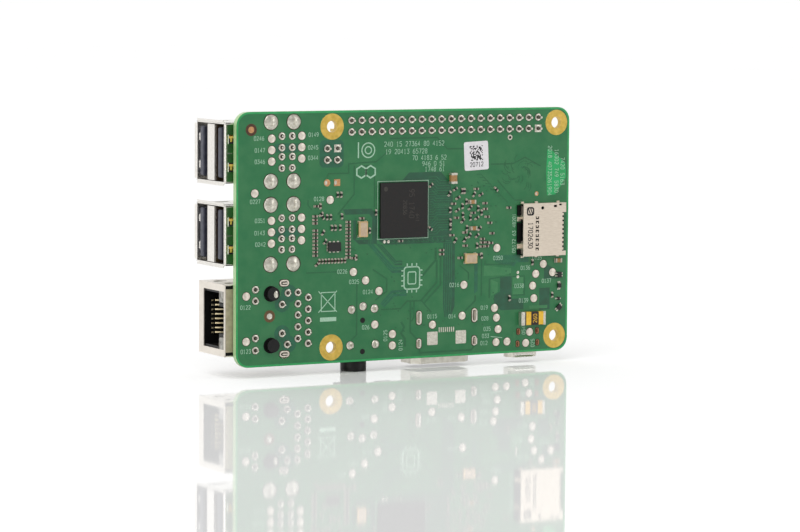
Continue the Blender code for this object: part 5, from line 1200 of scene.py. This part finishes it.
for number in (1, 2):
    low, high = localBox(f"usb_shell_{number}", top)
    middle = (low.y + high.y) / 2
    half = usbSocket["width"] / 2
    wall = usbSocket["wall"]
    back, mouth = low.x, high.x
    floorHeight = localBox(f"usb_insulator_{number}", top)[0].z - wall - 0.12
    roof = localBox(f"usb_insulator_{number}", top)[1].z + wall + 0.12
    windowWidth, windowLength = usbSocket["window"]
    shell = bmesh.new()
    windows = []
    for side in (-1, 1):
        centre = middle + side * usbSocket["windowFromMiddle"]
        front = mouth - usbSocket["windowFromMouth"]
        windows.append(box2((front - windowLength, centre - windowWidth / 2),
                            (front, centre + windowWidth / 2)))
    wallOutline = box2((back, middle - half), (mouth - 0.3, middle + half))
    addPlate(shell, wallOutline, [[(min(a, mouth - 0.75), b) for a, b in w] for w in windows], roof - wall,
             roof)
    nearOutline = box2((back, middle - half), (mouth, middle + half))
    addPlate(shell, nearOutline, windows, floorHeight, floorHeight + wall)
    ports = ((floorHeight + 0.9, floorHeight + 4.6), (roof - 4.6, roof - 0.9))
    sideHoles = [box2((mouth - 7.0, a + 1.0), (mouth - 1.3, b - 1.0)) for a, b in ports]
    sideOutline = box2((back, floorHeight), (mouth - 0.3, roof))
    for side in (-1, 1):
        inner = middle + side * (half - wall)
        edges = sorted((inner, middle + side * half))
        addPlate(shell, sideOutline, sideHoles, edges[0], edges[1], "y")
    addBox(shell, (back, middle - half + 0.05, floorHeight), (back + wall, middle + half - 0.05, roof))
    addFlare(shell, roof, mouth, 1, middle - half + 0.5, middle + half - 0.5, "y", usbSocket["lip"], wall)
    addFlare(shell, floorHeight, mouth, -1, middle - half + 0.4, middle + half - 0.4, "y", 0.36, wall)
    for side in (-1, 1):
        addFlare(shell, middle + side * half, mouth, side, floorHeight + 0.9, roof - 0.6, "h",
                 usbSocket["lip"], wall)
    for fromMouth in (10.5, 16.1):
        for side in (-1, 1):
            edges = sorted((middle + side * half, middle + side * (half - wall)))
            addBox(shell, (mouth - fromMouth - 0.9, edges[0], -1.4),
                   (mouth - fromMouth + 0.9, edges[1], floorHeight + 0.4))
    makePiece(f"usb_shell_folded_{number}", shell, top, "steel", [f"usb_shell_{number}"],
              bevel=0.05)
    springs = bmesh.new()
    halfSpring = usbSocket["springWidth"] / 2
    for side in (-1, 1):
        centre = middle + side * usbSocket["windowFromMiddle"]
        front = mouth - usbSocket["windowFromMouth"] - 0.25
        addSpring(springs, front - windowLength + 0.3, front, roof - wall / 2, -0.75, centre - halfSpring,
                  centre + halfSpring, "y")
        for a, b in ports:
            addSpring(springs, mouth - 6.7, mouth - 1.5, middle + side * (half - wall / 2), -side * 0.65,
                      (a + b) / 2 - 0.6,
                      (a + b) / 2 + 0.6, "h")
    makePiece(f"usb_shell_springs_{number}", springs, top, "steel", bevel=0.03)
    film = bmesh.new()
    for a, b in ((-half + 0.35, -0.07), (0.07, half - 0.35)):
        side = 1 if a > 0 else -1
        window = [(min(x, mouth - 0.75), y) for x, y in windows[0 if side < 0 else 1]]
        cut = [(max(x, mouth - 3.3), y) for x, y in window]
        addPlate(film, box2((mouth - 3.6, middle + a), (mouth - 0.42, middle + b)), [cut],
                 floorHeight - 0.03, floorHeight + 0.01)
    makePiece(f"usb_base_film_{number}", film, top, "greenFilm")
    hooks = bmesh.new()
    for side in (-1, 1):
        y = middle + side * usbSocket["windowFromMiddle"] + 0.5
        path = [(mouth - 3.2, floorHeight + 0.1), (mouth - 1.6, floorHeight - 0.04),
                (mouth - 1.0, floorHeight + 0.25)]
        addRibbon(hooks, path, 0.14, y - 0.3, y + 0.2, "y")
        addBox(hooks, (mouth - 1.9, y - 1.1, floorHeight + 0.05), (mouth - 1.5, y + 0.1, floorHeight + 0.2))
    makePiece(f"usb_base_springs_{number}", hooks, top, "gold", bevel=0.03)
    seam = bmesh.new()
    addBox(seam, (back + 0.2, middle - 0.05, roof - 0.02), (mouth - 1.2, middle + 0.05, roof + 0.012))
    addBox(seam, (back + 0.2, middle - 0.05, floorHeight - 0.012),
           (mouth - 0.1, middle + 0.05, floorHeight + 0.02))
    makePiece(f"usb_shell_seams_{number}", seam, top, "blackPlastic")
    divLow, divHigh = localBox(f"usb_divider_{number}", top)
    dividerFace = bmesh.new()
    addRibbon(dividerFace, [(mouth - 0.62, divLow.z + 0.04), (mouth - 0.34, divLow.z + 0.3),
                            (mouth - 0.34, divHigh.z - 0.3),
                            (mouth - 0.62, divHigh.z - 0.04)], 0.2, middle - half + 0.45,
                            middle + half - 0.45, "y")
    for side in (-1, 1):
        for height, dip in ((divLow.z, -0.5), (divHigh.z, 0.5)):
            centre = middle + side * usbSocket["windowFromMiddle"]
            addSpring(dividerFace, mouth - 6.0, mouth - 1.3, height, dip, centre - halfSpring,
                      centre + halfSpring, "y")
    makePiece(f"usb_divider_face_{number}", dividerFace, top, "steel", bevel=0.03)
    blockLow, blockHigh = localBox(f"usb_insulator_{number}", top)
    block = bmesh.new()
    tongueGold = bmesh.new()
    addBox(block, (blockLow.x, blockLow.y, blockLow.z), (blockLow.x + 7.2, blockHigh.y, blockHigh.z))
    portHeight, fromWall, thick = 5.1, 0.7, 1.84
    for base in (floorHeight + wall, roof - wall - portHeight):
        tongueTop = base + portHeight - fromWall
        addBox(block, (blockLow.x + 7.0, middle - usbSocket["tongueWidth"] / 2, tongueTop - thick),
               (blockHigh.x, middle + usbSocket["tongueWidth"] / 2, tongueTop))
        for offset in (-3.5, -1.0, 1.0, 3.5):
            addRibbon(tongueGold, [(blockLow.x + 7.1, tongueTop - thick - 0.03),
                                   (blockHigh.x - 2.4, tongueTop - thick - 0.05),
                                   (blockHigh.x - 1.6, tongueTop - thick - 0.22),
                                   (blockHigh.x - 1.0, tongueTop - thick - 0.02)],
                      0.14, middle + offset - 0.5, middle + offset + 0.5, "y")
    makePiece(f"usb_tongues_{number}", block, top, "navyPlastic",
              [f"usb_insulator_{number}"],
              bevel=usbSocket["tongueBevel"], bevelSteps=1)
    makePiece(f"usb_contacts_{number}", tongueGold, top, "gold", bevel=0.02)
print("usb sockets done")

# Network socket: framed steel cover, plastic body and lamps from the CAD, eight bent wires
netSocket = {"wall": 0.25, "mouth": (12.8, 10.1), "mouthFloor": 0.45, "latch": 6.0, "wires": 8,
             "pitch": 1.02, "wire": 0.34}
low, high = localBox("network_shield", top)
back, mouth = low.x, high.x
middle = (low.y + high.y) / 2
half = (high.y - low.y) / 2
wall = netSocket["wall"]
base, roof = localBox("network_transformer", top)[0].z - wall - 0.12, high.z
mouthHalf, mouthHeight = netSocket["mouth"][0] / 2, netSocket["mouth"][1]
openFoot = base + netSocket["mouthFloor"]
latchHalf = netSocket["latch"] / 2
frontHole = [(middle - mouthHalf, openFoot), (middle - latchHalf, openFoot),
             (middle - latchHalf, base + wall + 0.12),
             (middle + latchHalf, base + wall + 0.12), (middle + latchHalf, openFoot),
             (middle + mouthHalf, openFoot),
             (middle + mouthHalf, openFoot + mouthHeight), (middle - mouthHalf, openFoot + mouthHeight)]
cover = bmesh.new()
addPlate(cover, box2((middle - half, base), (middle + half, roof)), [frontHole], mouth - wall, mouth, "x")
netSideHoles = [box2((mouth - 5.2, base + 3.0), (mouth - 1.2, base + 4.6)),
                box2((mouth - 5.2, roof - 4.4), (mouth - 1.2, roof - 2.8)),
                box2((back + 3.0, base + 4.8), (back + 3.5, base + 8.0))]
for side in (-1, 1):
    edges = sorted((middle + side * half, middle + side * (half - wall)))
    addPlate(cover, box2((back, base), (mouth - 0.05, roof)), netSideHoles, edges[0], edges[1], "y")
roofHoles = [box2((mouth - 5.4, middle + side * 4.0 - 0.9), (mouth - 1.3, middle + side * 4.0 + 0.9))
             for side in (-1, 1)]
addPlate(cover, box2((back, middle - half), (mouth - 0.05, middle + half)), roofHoles, roof - wall, roof)
addBox(cover, (back, middle - half + 0.05, base), (back + wall, middle + half - 0.05, roof - 0.05))
for side in (-1, 1):
    edges = sorted((middle + side * half, middle + side * (half - wall)))
    addBox(cover, (mouth - 14.8, edges[0], -1.4), (mouth - 13.0, edges[1], base + 0.5))
makePiece("network_cover_folded", cover, top, "nickel", ["network_shield"], bevel=0.05)
flap, corners = bmesh.new(), bmesh.new()
addBox(flap, (mouth - 5.0, middle - half + 1.0, base), (mouth - 0.28, middle + half - 1.0, base + wall))
addBox(flap, (mouth - 0.62, middle - half + 1.0, base - 0.05),
       (mouth - 0.28, middle + half - 1.0, base + 0.02))
for side in (-1, 1):
    y = middle + side * (half - 0.62)
    addBox(corners, (mouth - 5.0, y - 0.34, base), (mouth - 0.4, y + 0.34, base + 0.5))
makePiece("network_base_flap", flap, top, "duskSteel", bevel=0.04)
# the black plastic corners beyond the flap's ends take the near-black finish, darkened as painted shade
makePiece("network_base_corners", corners, top, "shadeBlack", bevel=0.05)
netSprings = bmesh.new()
for side in (-1, 1):
    for height in (base + 3.8, roof - 3.6):
        addSpring(netSprings, mouth - 5.12, mouth - 1.3, middle + side * (half - wall / 2), side * 0.22,
                  height - 0.72, height + 0.72, "h")
    addSpring(netSprings, mouth - 5.3, mouth - 1.4, roof - wall / 2, 0.22, middle + side * 4.0 - 0.82,
              middle + side * 4.0 + 0.82, "y")
makePiece("network_cover_springs", netSprings, top, "nickel", bevel=0.03)
for node in ("network_link_lamp", "network_activity_lamp"):
    lampLow, lampHigh = localBox(node, top)
    lens = bmesh.new()
    addBox(lens, (lampLow.x, lampLow.y, lampLow.z), (mouth - 0.04, lampHigh.y, lampHigh.z + 0.35))
    makePiece(node + "_lens", lens, top, "frostedLamp",
              [node], bevel=0.45, bevelSteps=3)
    # a thin dark plate on the lens front paints the shade of a recess
    recessShade = bmesh.new()
    y = (lampLow.y + lampHigh.y) / 2
    addBox(recessShade, (mouth - 0.06, y - 0.7, lampHigh.z - 0.55), (mouth - 0.01, y + 0.7, lampHigh.z - 0.25))
    makePiece(node + "_recess_shade", recessShade, top, "shadedTin", bevel=0.02)
wireLow, wireHigh = localBox("network_contacts", top)
comb = bmesh.new()
addBox(comb, (wireLow.x, wireLow.y, wireHigh.z - 1.15), (wireHigh.x, wireHigh.y, wireHigh.z))
makePiece("network_contact_carrier", comb, top, "blackPlastic", bevel=0.06)
wires = bmesh.new()
for i in range(netSocket["wires"]):
    y = middle + (i - (netSocket["wires"] - 1) / 2) * netSocket["pitch"]
    path = [(mouth - 2.9, wireHigh.z - 1.0), (mouth - 3.2, wireHigh.z - 1.25),
            (mouth - 4.2, wireHigh.z - 1.75),
            (mouth - 8.0, wireHigh.z - 3.5), (mouth - 8.6, wireHigh.z - 3.6)]
    addRibbon(wires, path, 0.28, y - netSocket["wire"] / 2, y + netSocket["wire"] / 2, "y")
    addBox(wires, (mouth - 2.5, y - 0.17, wireHigh.z - 1.35), (mouth - 2.0, y + 0.17, wireHigh.z - 1.05))
makePiece("network_contact_wires", wires, top, "paleGold", ["network_contacts"], bevel=0.05)
print("network socket done")

# HDMI, power and audio sockets gain lips, springs and a rounded nose; the power shell's legs are cut short
powerShell = bmesh.new()
powerShell.from_mesh(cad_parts["power_socket_shell"].data)
bmesh.ops.transform(powerShell, matrix=Matrix.Scale(1 / mm, 4) @ under.inverted(), verts=powerShell.verts)
bmesh.ops.bisect_plane(powerShell, geom=powerShell.verts[:] + powerShell.edges[:] + powerShell.faces[:],
                       plane_co=(0, 0, -0.1), plane_no=(0, 0, 1), clear_outer=True)
bmesh.ops.holes_fill(powerShell, edges=[edge for edge in powerShell.edges if edge.is_boundary])
makePiece("power_socket_folded_shell", powerShell, under, "softSteel",
          ["power_socket_shell"], bevel=0.03)
slotMask = bmesh.new()                                 # mask over the slots that the legs stand in
for u in (70.78, 78.02):
    for v in (4.0, 1.9):
        addTile(slotMask, (u, v), (0.8, 1.3, 0.2), sunk, 0.02)
makePiece("mask_over_leg_slots", slotMask, under, "plainMask")
low, high = localBox("hdmi_shell", top)
hdmi = {"springs": (-3.6, 3.6), "contacts": 19, "contactPitch": 0.5}
middle = (low.x + high.x) / 2
hdmiParts = bmesh.new()
for offset in hdmi["springs"]:
    addRibbon(hdmiParts, box2((middle + offset - 1.1, low.y + 1.4), (middle + offset + 1.1, low.y + 7.4)),
              0.12,
              high.z - 0.01, high.z + 0.01, closed=True)
addRibbon(hdmiParts, [(low.x + 0.6, high.y - 2.0), (high.x - 0.6, high.y - 2.0)], 0.12, high.z - 0.01,
          high.z + 0.01)
makePiece("hdmi_shell_slots", hdmiParts, top, "blackPlastic")
hdmiSprings = bmesh.new()
for offset in hdmi["springs"]:
    path = [(low.y + 1.7, high.z - 0.1), (low.y + 3.2, high.z + 0.02), (low.y + 5.0, high.z + 0.12),
            (low.y + 7.0, high.z - 0.1)]
    left, right = ribbonOutline(path, 0.2)
    addPrism(hdmiSprings, left + right[::-1], middle + offset - 0.9, middle + offset + 0.9, "x")
makePiece("hdmi_shell_springs", hdmiSprings, top, "softSteel", bevel=0.04)
insLow, insHigh = localBox("hdmi_insulator", top)
hdmiGold = bmesh.new()
for i in range(hdmi["contacts"]):
    x = middle + (i - 9) * hdmi["contactPitch"]
    h = insHigh.z - 1.08 if i % 2 else insHigh.z - 2.34
    addBox(hdmiGold, (x - 0.14, insLow.y + 0.35, h - 0.05), (x + 0.14, insLow.y + 5.0, h + 0.06))
makePiece("hdmi_contacts", hdmiGold, top, "gold")

low, high = localBox("power_socket_shell", top)
powerLips = bmesh.new()
middle = (low.x + high.x) / 2
for side, height in ((1, high.z), (-1, 0.15)):
    reach = 3.3 if side > 0 else 2.4
    path = [(low.y + 0.75, height - side * 0.1), (low.y + 0.35, height - side * 0.08),
            (low.y + 0.02, height + side * 0.3)]
    left, right = ribbonOutline(path, 0.2)
    addPrism(powerLips, left + right[::-1], middle - reach, middle + reach, "x")
makePiece("power_socket_lips", powerLips, top, "steel", bevel=0.04)

low, high = localBox("audio_jack_body", top)
audio = {"nose": 2.9, "bore": 1.8, "fillet": 0.35}
middle = (low.x + high.x) / 2
axis = (high.z + 0.15) / 2
noseRing = bmesh.new()
profile = [(audio["bore"], 2.2), (audio["bore"], 0.3), (audio["bore"] + 0.3, 0.0),
           (audio["nose"] - audio["fillet"], 0.0),
           (audio["nose"] - 0.1, 0.1), (audio["nose"] + 0.03, audio["fillet"]), (audio["nose"] + 0.03, 2.2)]
addTurned(noseRing, (0, 0), profile, 44, loop=True)
for vert in noseRing.verts:
    a, b, t = vert.co
    vert.co = (middle + a, low.y - 0.01 + t, axis + b)
makePiece("audio_nose_ring", noseRing, top, "blackPlastic")
print("edge sockets done")

# Pin headers: moulded strip with cells, square pins with pointed tips
headerLooks = {"pin": 0.64, "cell": 2.54, "notch": 0.32}
for node, columns in (("gpio_header", 20), ("power_header", 2)):
    low, high = localBox(node, top)
    middle = middleOf(low, high)
    strip = bmesh.new()
    half = headerLooks["cell"]
    notch = headerLooks["notch"]
    outline = []
    for side in (-1, 1):
        for i in range(columns):
            x = middle[0] + side * (i - columns / 2) * half
            outline += [(x, middle[1] + side * (notch - half)), (x + side * notch, middle[1] - side * half),
                        (x + side * (half - notch), middle[1] - side * half)]
    seat = 0.15
    addPrism(strip, outline, seat, seat + 2.54)
    makePiece(node + "_strip", strip, top, "blackPlastic", [node], bevel=0.06)
    pins = bmesh.new()
    for i in range(columns):
        for side in (-1, 1):
            addPin(pins, (middle[0] + (i - (columns - 1) / 2) * half, middle[1] + side * half / 2),
                   seat + 1.0, high.z,
                   headerLooks["pin"])
    makePiece(node + "_pins", pins, top, "gold", bevel=0.03)
print("headers done")

# Flat-cable connectors: housings and latches from the CAD, with contacts, feet and grip ribs
for name in ("camera", "display"):
    housing, latch = name + "_connector_housing", name + "_connector_latch"
    low, high = localBox(housing, top)
    middle = middleOf(low, high)
    metal = bmesh.new()
    for i in range(15):
        y = middle[1] + (i - 7)
        addBox(metal, (middle[0] - 0.86, y - 0.16, high.z - 2.9),
               (middle[0] - 0.62, y + 0.16, high.z - 0.15))
        addBox(metal, (low.x - 0.75, y - 0.15, 0.0), (low.x + 0.2, y + 0.15, 0.22))
    for y in (low.y + 0.6, high.y - 0.6):
        addBox(metal, (high.x - 0.3, y - 0.6, 0.0), (high.x + 0.6, y + 0.6, 0.2))
    makePiece(name + "_connector_contacts", metal, top, "tin", bevel=0.03)
    low, high = localBox(latch, top)
    ribs = bmesh.new()
    for i in range(16):
        y = middle[1] + (i - 7.5) * 1.1
        addBox(ribs, (high.x - 0.62, y - 0.16, high.z - 0.02), (high.x - 0.12, y + 0.16, high.z + 0.07))
    makePiece(name + "_latch_ribs", ribs, top, "brownPlastic", bevel=0.03,
              body=name + "_latch")
print("flat-cable connectors done")

# Component side: chips, lid, shield, coils, lamps, capacitors
markChip("network_and_usb_controller", top, ("95142", "1734 06", "8250317"))
markChip("power_management_chip", top, ("7704", "1726"))
for node, count in (("network_and_usb_controller", 16), ("power_management_chip", 10),
                    ("usb_current_switch", 3)):
    makeSurroundingFillets(node, top, count)
lidLow, lidHigh = localBox("processor_lid", top)
lidCentre = middleOf(lidLow, lidHigh)
lidMarks = bmesh.new()
for text, shift, height, weight in (("283781", 2.0, 1.3, 0.16), ("1740264 05", -0.2, 1.0, 0.13),
                                    ("39 06172", -2.2, 1.0, 0.13)):
    addDigits(lidMarks, text, (lidCentre[0], lidCentre[1] + shift), height, 0, weight, lidHigh.z - markFoot,
              lidHigh.z + markHead)
makePiece("processor_lid_marks", lidMarks, top, "laserMark")
lidStep = bmesh.new()
flange = rectangle(lidHigh.x - lidLow.x + 0.3, lidHigh.y - lidLow.y + 0.3, 0.5)
addPlate(lidStep, turned(flange, lidCentre, 0), [turned(rectangle(11.0, 11.0, 0.3), lidCentre, 0)],
         lidLow.z - 0.02, lidLow.z + 0.28)
makePiece("processor_lid_flange", lidStep, top, "steel", bevel=0.05)

canLow, canHigh = localBox("wireless_shield", top)
canCentre = middleOf(canLow, canHigh)
canMarks = bmesh.new()
for i in range(5):                                   # pressed ribs, plain pattern
    y = canCentre[1] + (i - 2) * 1.5
    addTile(canMarks, (canCentre[0], y), (7.6, 0.5, 0.24), canHigh.z - 0.02, canHigh.z + 0.06)
makePiece("wireless_shield_ribs", canMarks, top, "steel", bevel=0.04)
fence = bmesh.new()
for i in range(9):
    x = canLow.x + 0.9 + i * 1.3
    for y in (canLow.y, canHigh.y):
        addTile(fence, (x, y), (0.7, 0.5), 0.0, 0.22)
for i in range(7):
    y = canLow.y + 1.2 + i * 1.33
    for x in (canLow.x, canHigh.x):
        addTile(fence, (x, y), (0.5, 0.7), 0.0, 0.22)
makePiece("wireless_shield_joints", fence, top, "tin", bevel=0.04)

for number in range(1, 5):
    node = f"power_inductor_{number}"
    makeEndFillets(node, top, 0.16)
    low, high = localBox(node, top)
    coil = bmesh.new()
    middle = middleOf(low, high)
    addTurned(coil, middle, [(0, high.z - 0.02), (0.95, high.z - 0.02), (0.9, high.z + 0.04),
                             (0.75, high.z + 0.05), (0.62, high.z - 0.01), (0, high.z - 0.01)], 24)
    makePiece(node + "_crown", coil, top, "ferrite")
makeCrystalSeam("controller_crystal", top)
makeEndFillets("usb_reservoir_capacitor", top)
for node in ("power_led", "activity_led"):
    makeEndFillets(node, top, 0.18)

topDice = random.Random(21)
keepOut = [localBox(node, top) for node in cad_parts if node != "circuit_board"]
keepOut += [(Vector((x - 3.4, y - 3.4, 0)), Vector((x + 3.4, y + 3.4, 1))) for x in (3.5, 61.5)
            for y in (3.5, 52.5)]
rows = {"brown": [], "dark": []}
taken = []
while len(rows["brown"]) + len(rows["dark"]) < 150:
    x, y = round(topDice.uniform(2.0, 68.0) / 0.65) * 0.65, round(topDice.uniform(2.0, 49.0) / 0.65) * 0.65
    angle = topDice.choice((0, 90))
    clear = all(not (a.x - 1.0 < x < b.x + 1.0 and a.y - 1.0 < y < b.y + 1.0) for a,
                b in keepOut if b.z > 0.05)
    if clear and all(abs(x - p) > 1.8 or abs(y - q) > 1.8 for p, q in taken):
        taken.append((x, y))
        rows[topDice.choice(("brown", "dark"))].append((x, y, angle))
    elif topDice.random() < 0.002:
        break
makeSmallParts("component_side_capacitors", rows["brown"], top, "brownCeramic")
makeSmallParts("component_side_resistors", rows["dark"], top, "darkResistor")

topPrint = bmesh.new()
for node in ("gpio_header", "network_and_usb_controller", "processor_base", "wireless_shield",
             "camera_connector_housing",
             "display_connector_housing", "power_management_chip", "hdmi_shell", "power_socket_shell"):
    low, high = localBox(node, top)
    grow = 0.5
    addRibbon(topPrint, box2((low.x - grow, max(0.4, low.y - grow)),
                             (high.x + grow, min(55.6, high.y + grow))), 0.14, 0.0, 0.03, closed=True)
for text, x, y, angle in (("05 17", 20.0, 2.2, 0), ("1 2 3", 43.0, 26.0, 0), ("40", 58.8, 49.0, 0),
                          ("1", 8.6, 49.2, 0), ("2018", 45.0, 35.0, 0),
                          ("03", 49.2, 11.5, 90), ("04", 8.3, 28.0, 90), ("06", 61.5, 43.0, 0),
                          ("07", 61.5, 37.9, 0)):
    addDigits(topPrint, text, (x, y), 1.15, angle)
makePiece("component_side_printing", topPrint, top, "print")

topJoints = bmesh.new()
for x in (60.23, 62.77):
    addTurned(topJoints, (x, 40.1), [(0, 0), (0.85, 0), (0.85, 0.05), (0.5, 0.06), (0.46, -0.3), (0, -0.3)],
              20)
topTracks = bmesh.new()
for i in range(26):
    x, y = topDice.uniform(20, 62), topDice.uniform(4, 46)
    run, rise = topDice.uniform(3, 9), topDice.uniform(-3, 3)
    addRibbon(topTracks, [(x, y), (x + run / 2, y), (x + run / 2 + abs(rise), y + rise),
                          (x + run + abs(rise), y + rise)], 0.16, 0.0, 0.02)
makePiece("component_side_tracks", topTracks, top, "trackMask")
makePiece("reset_pads", topJoints, top, "tin")
print("component side done")
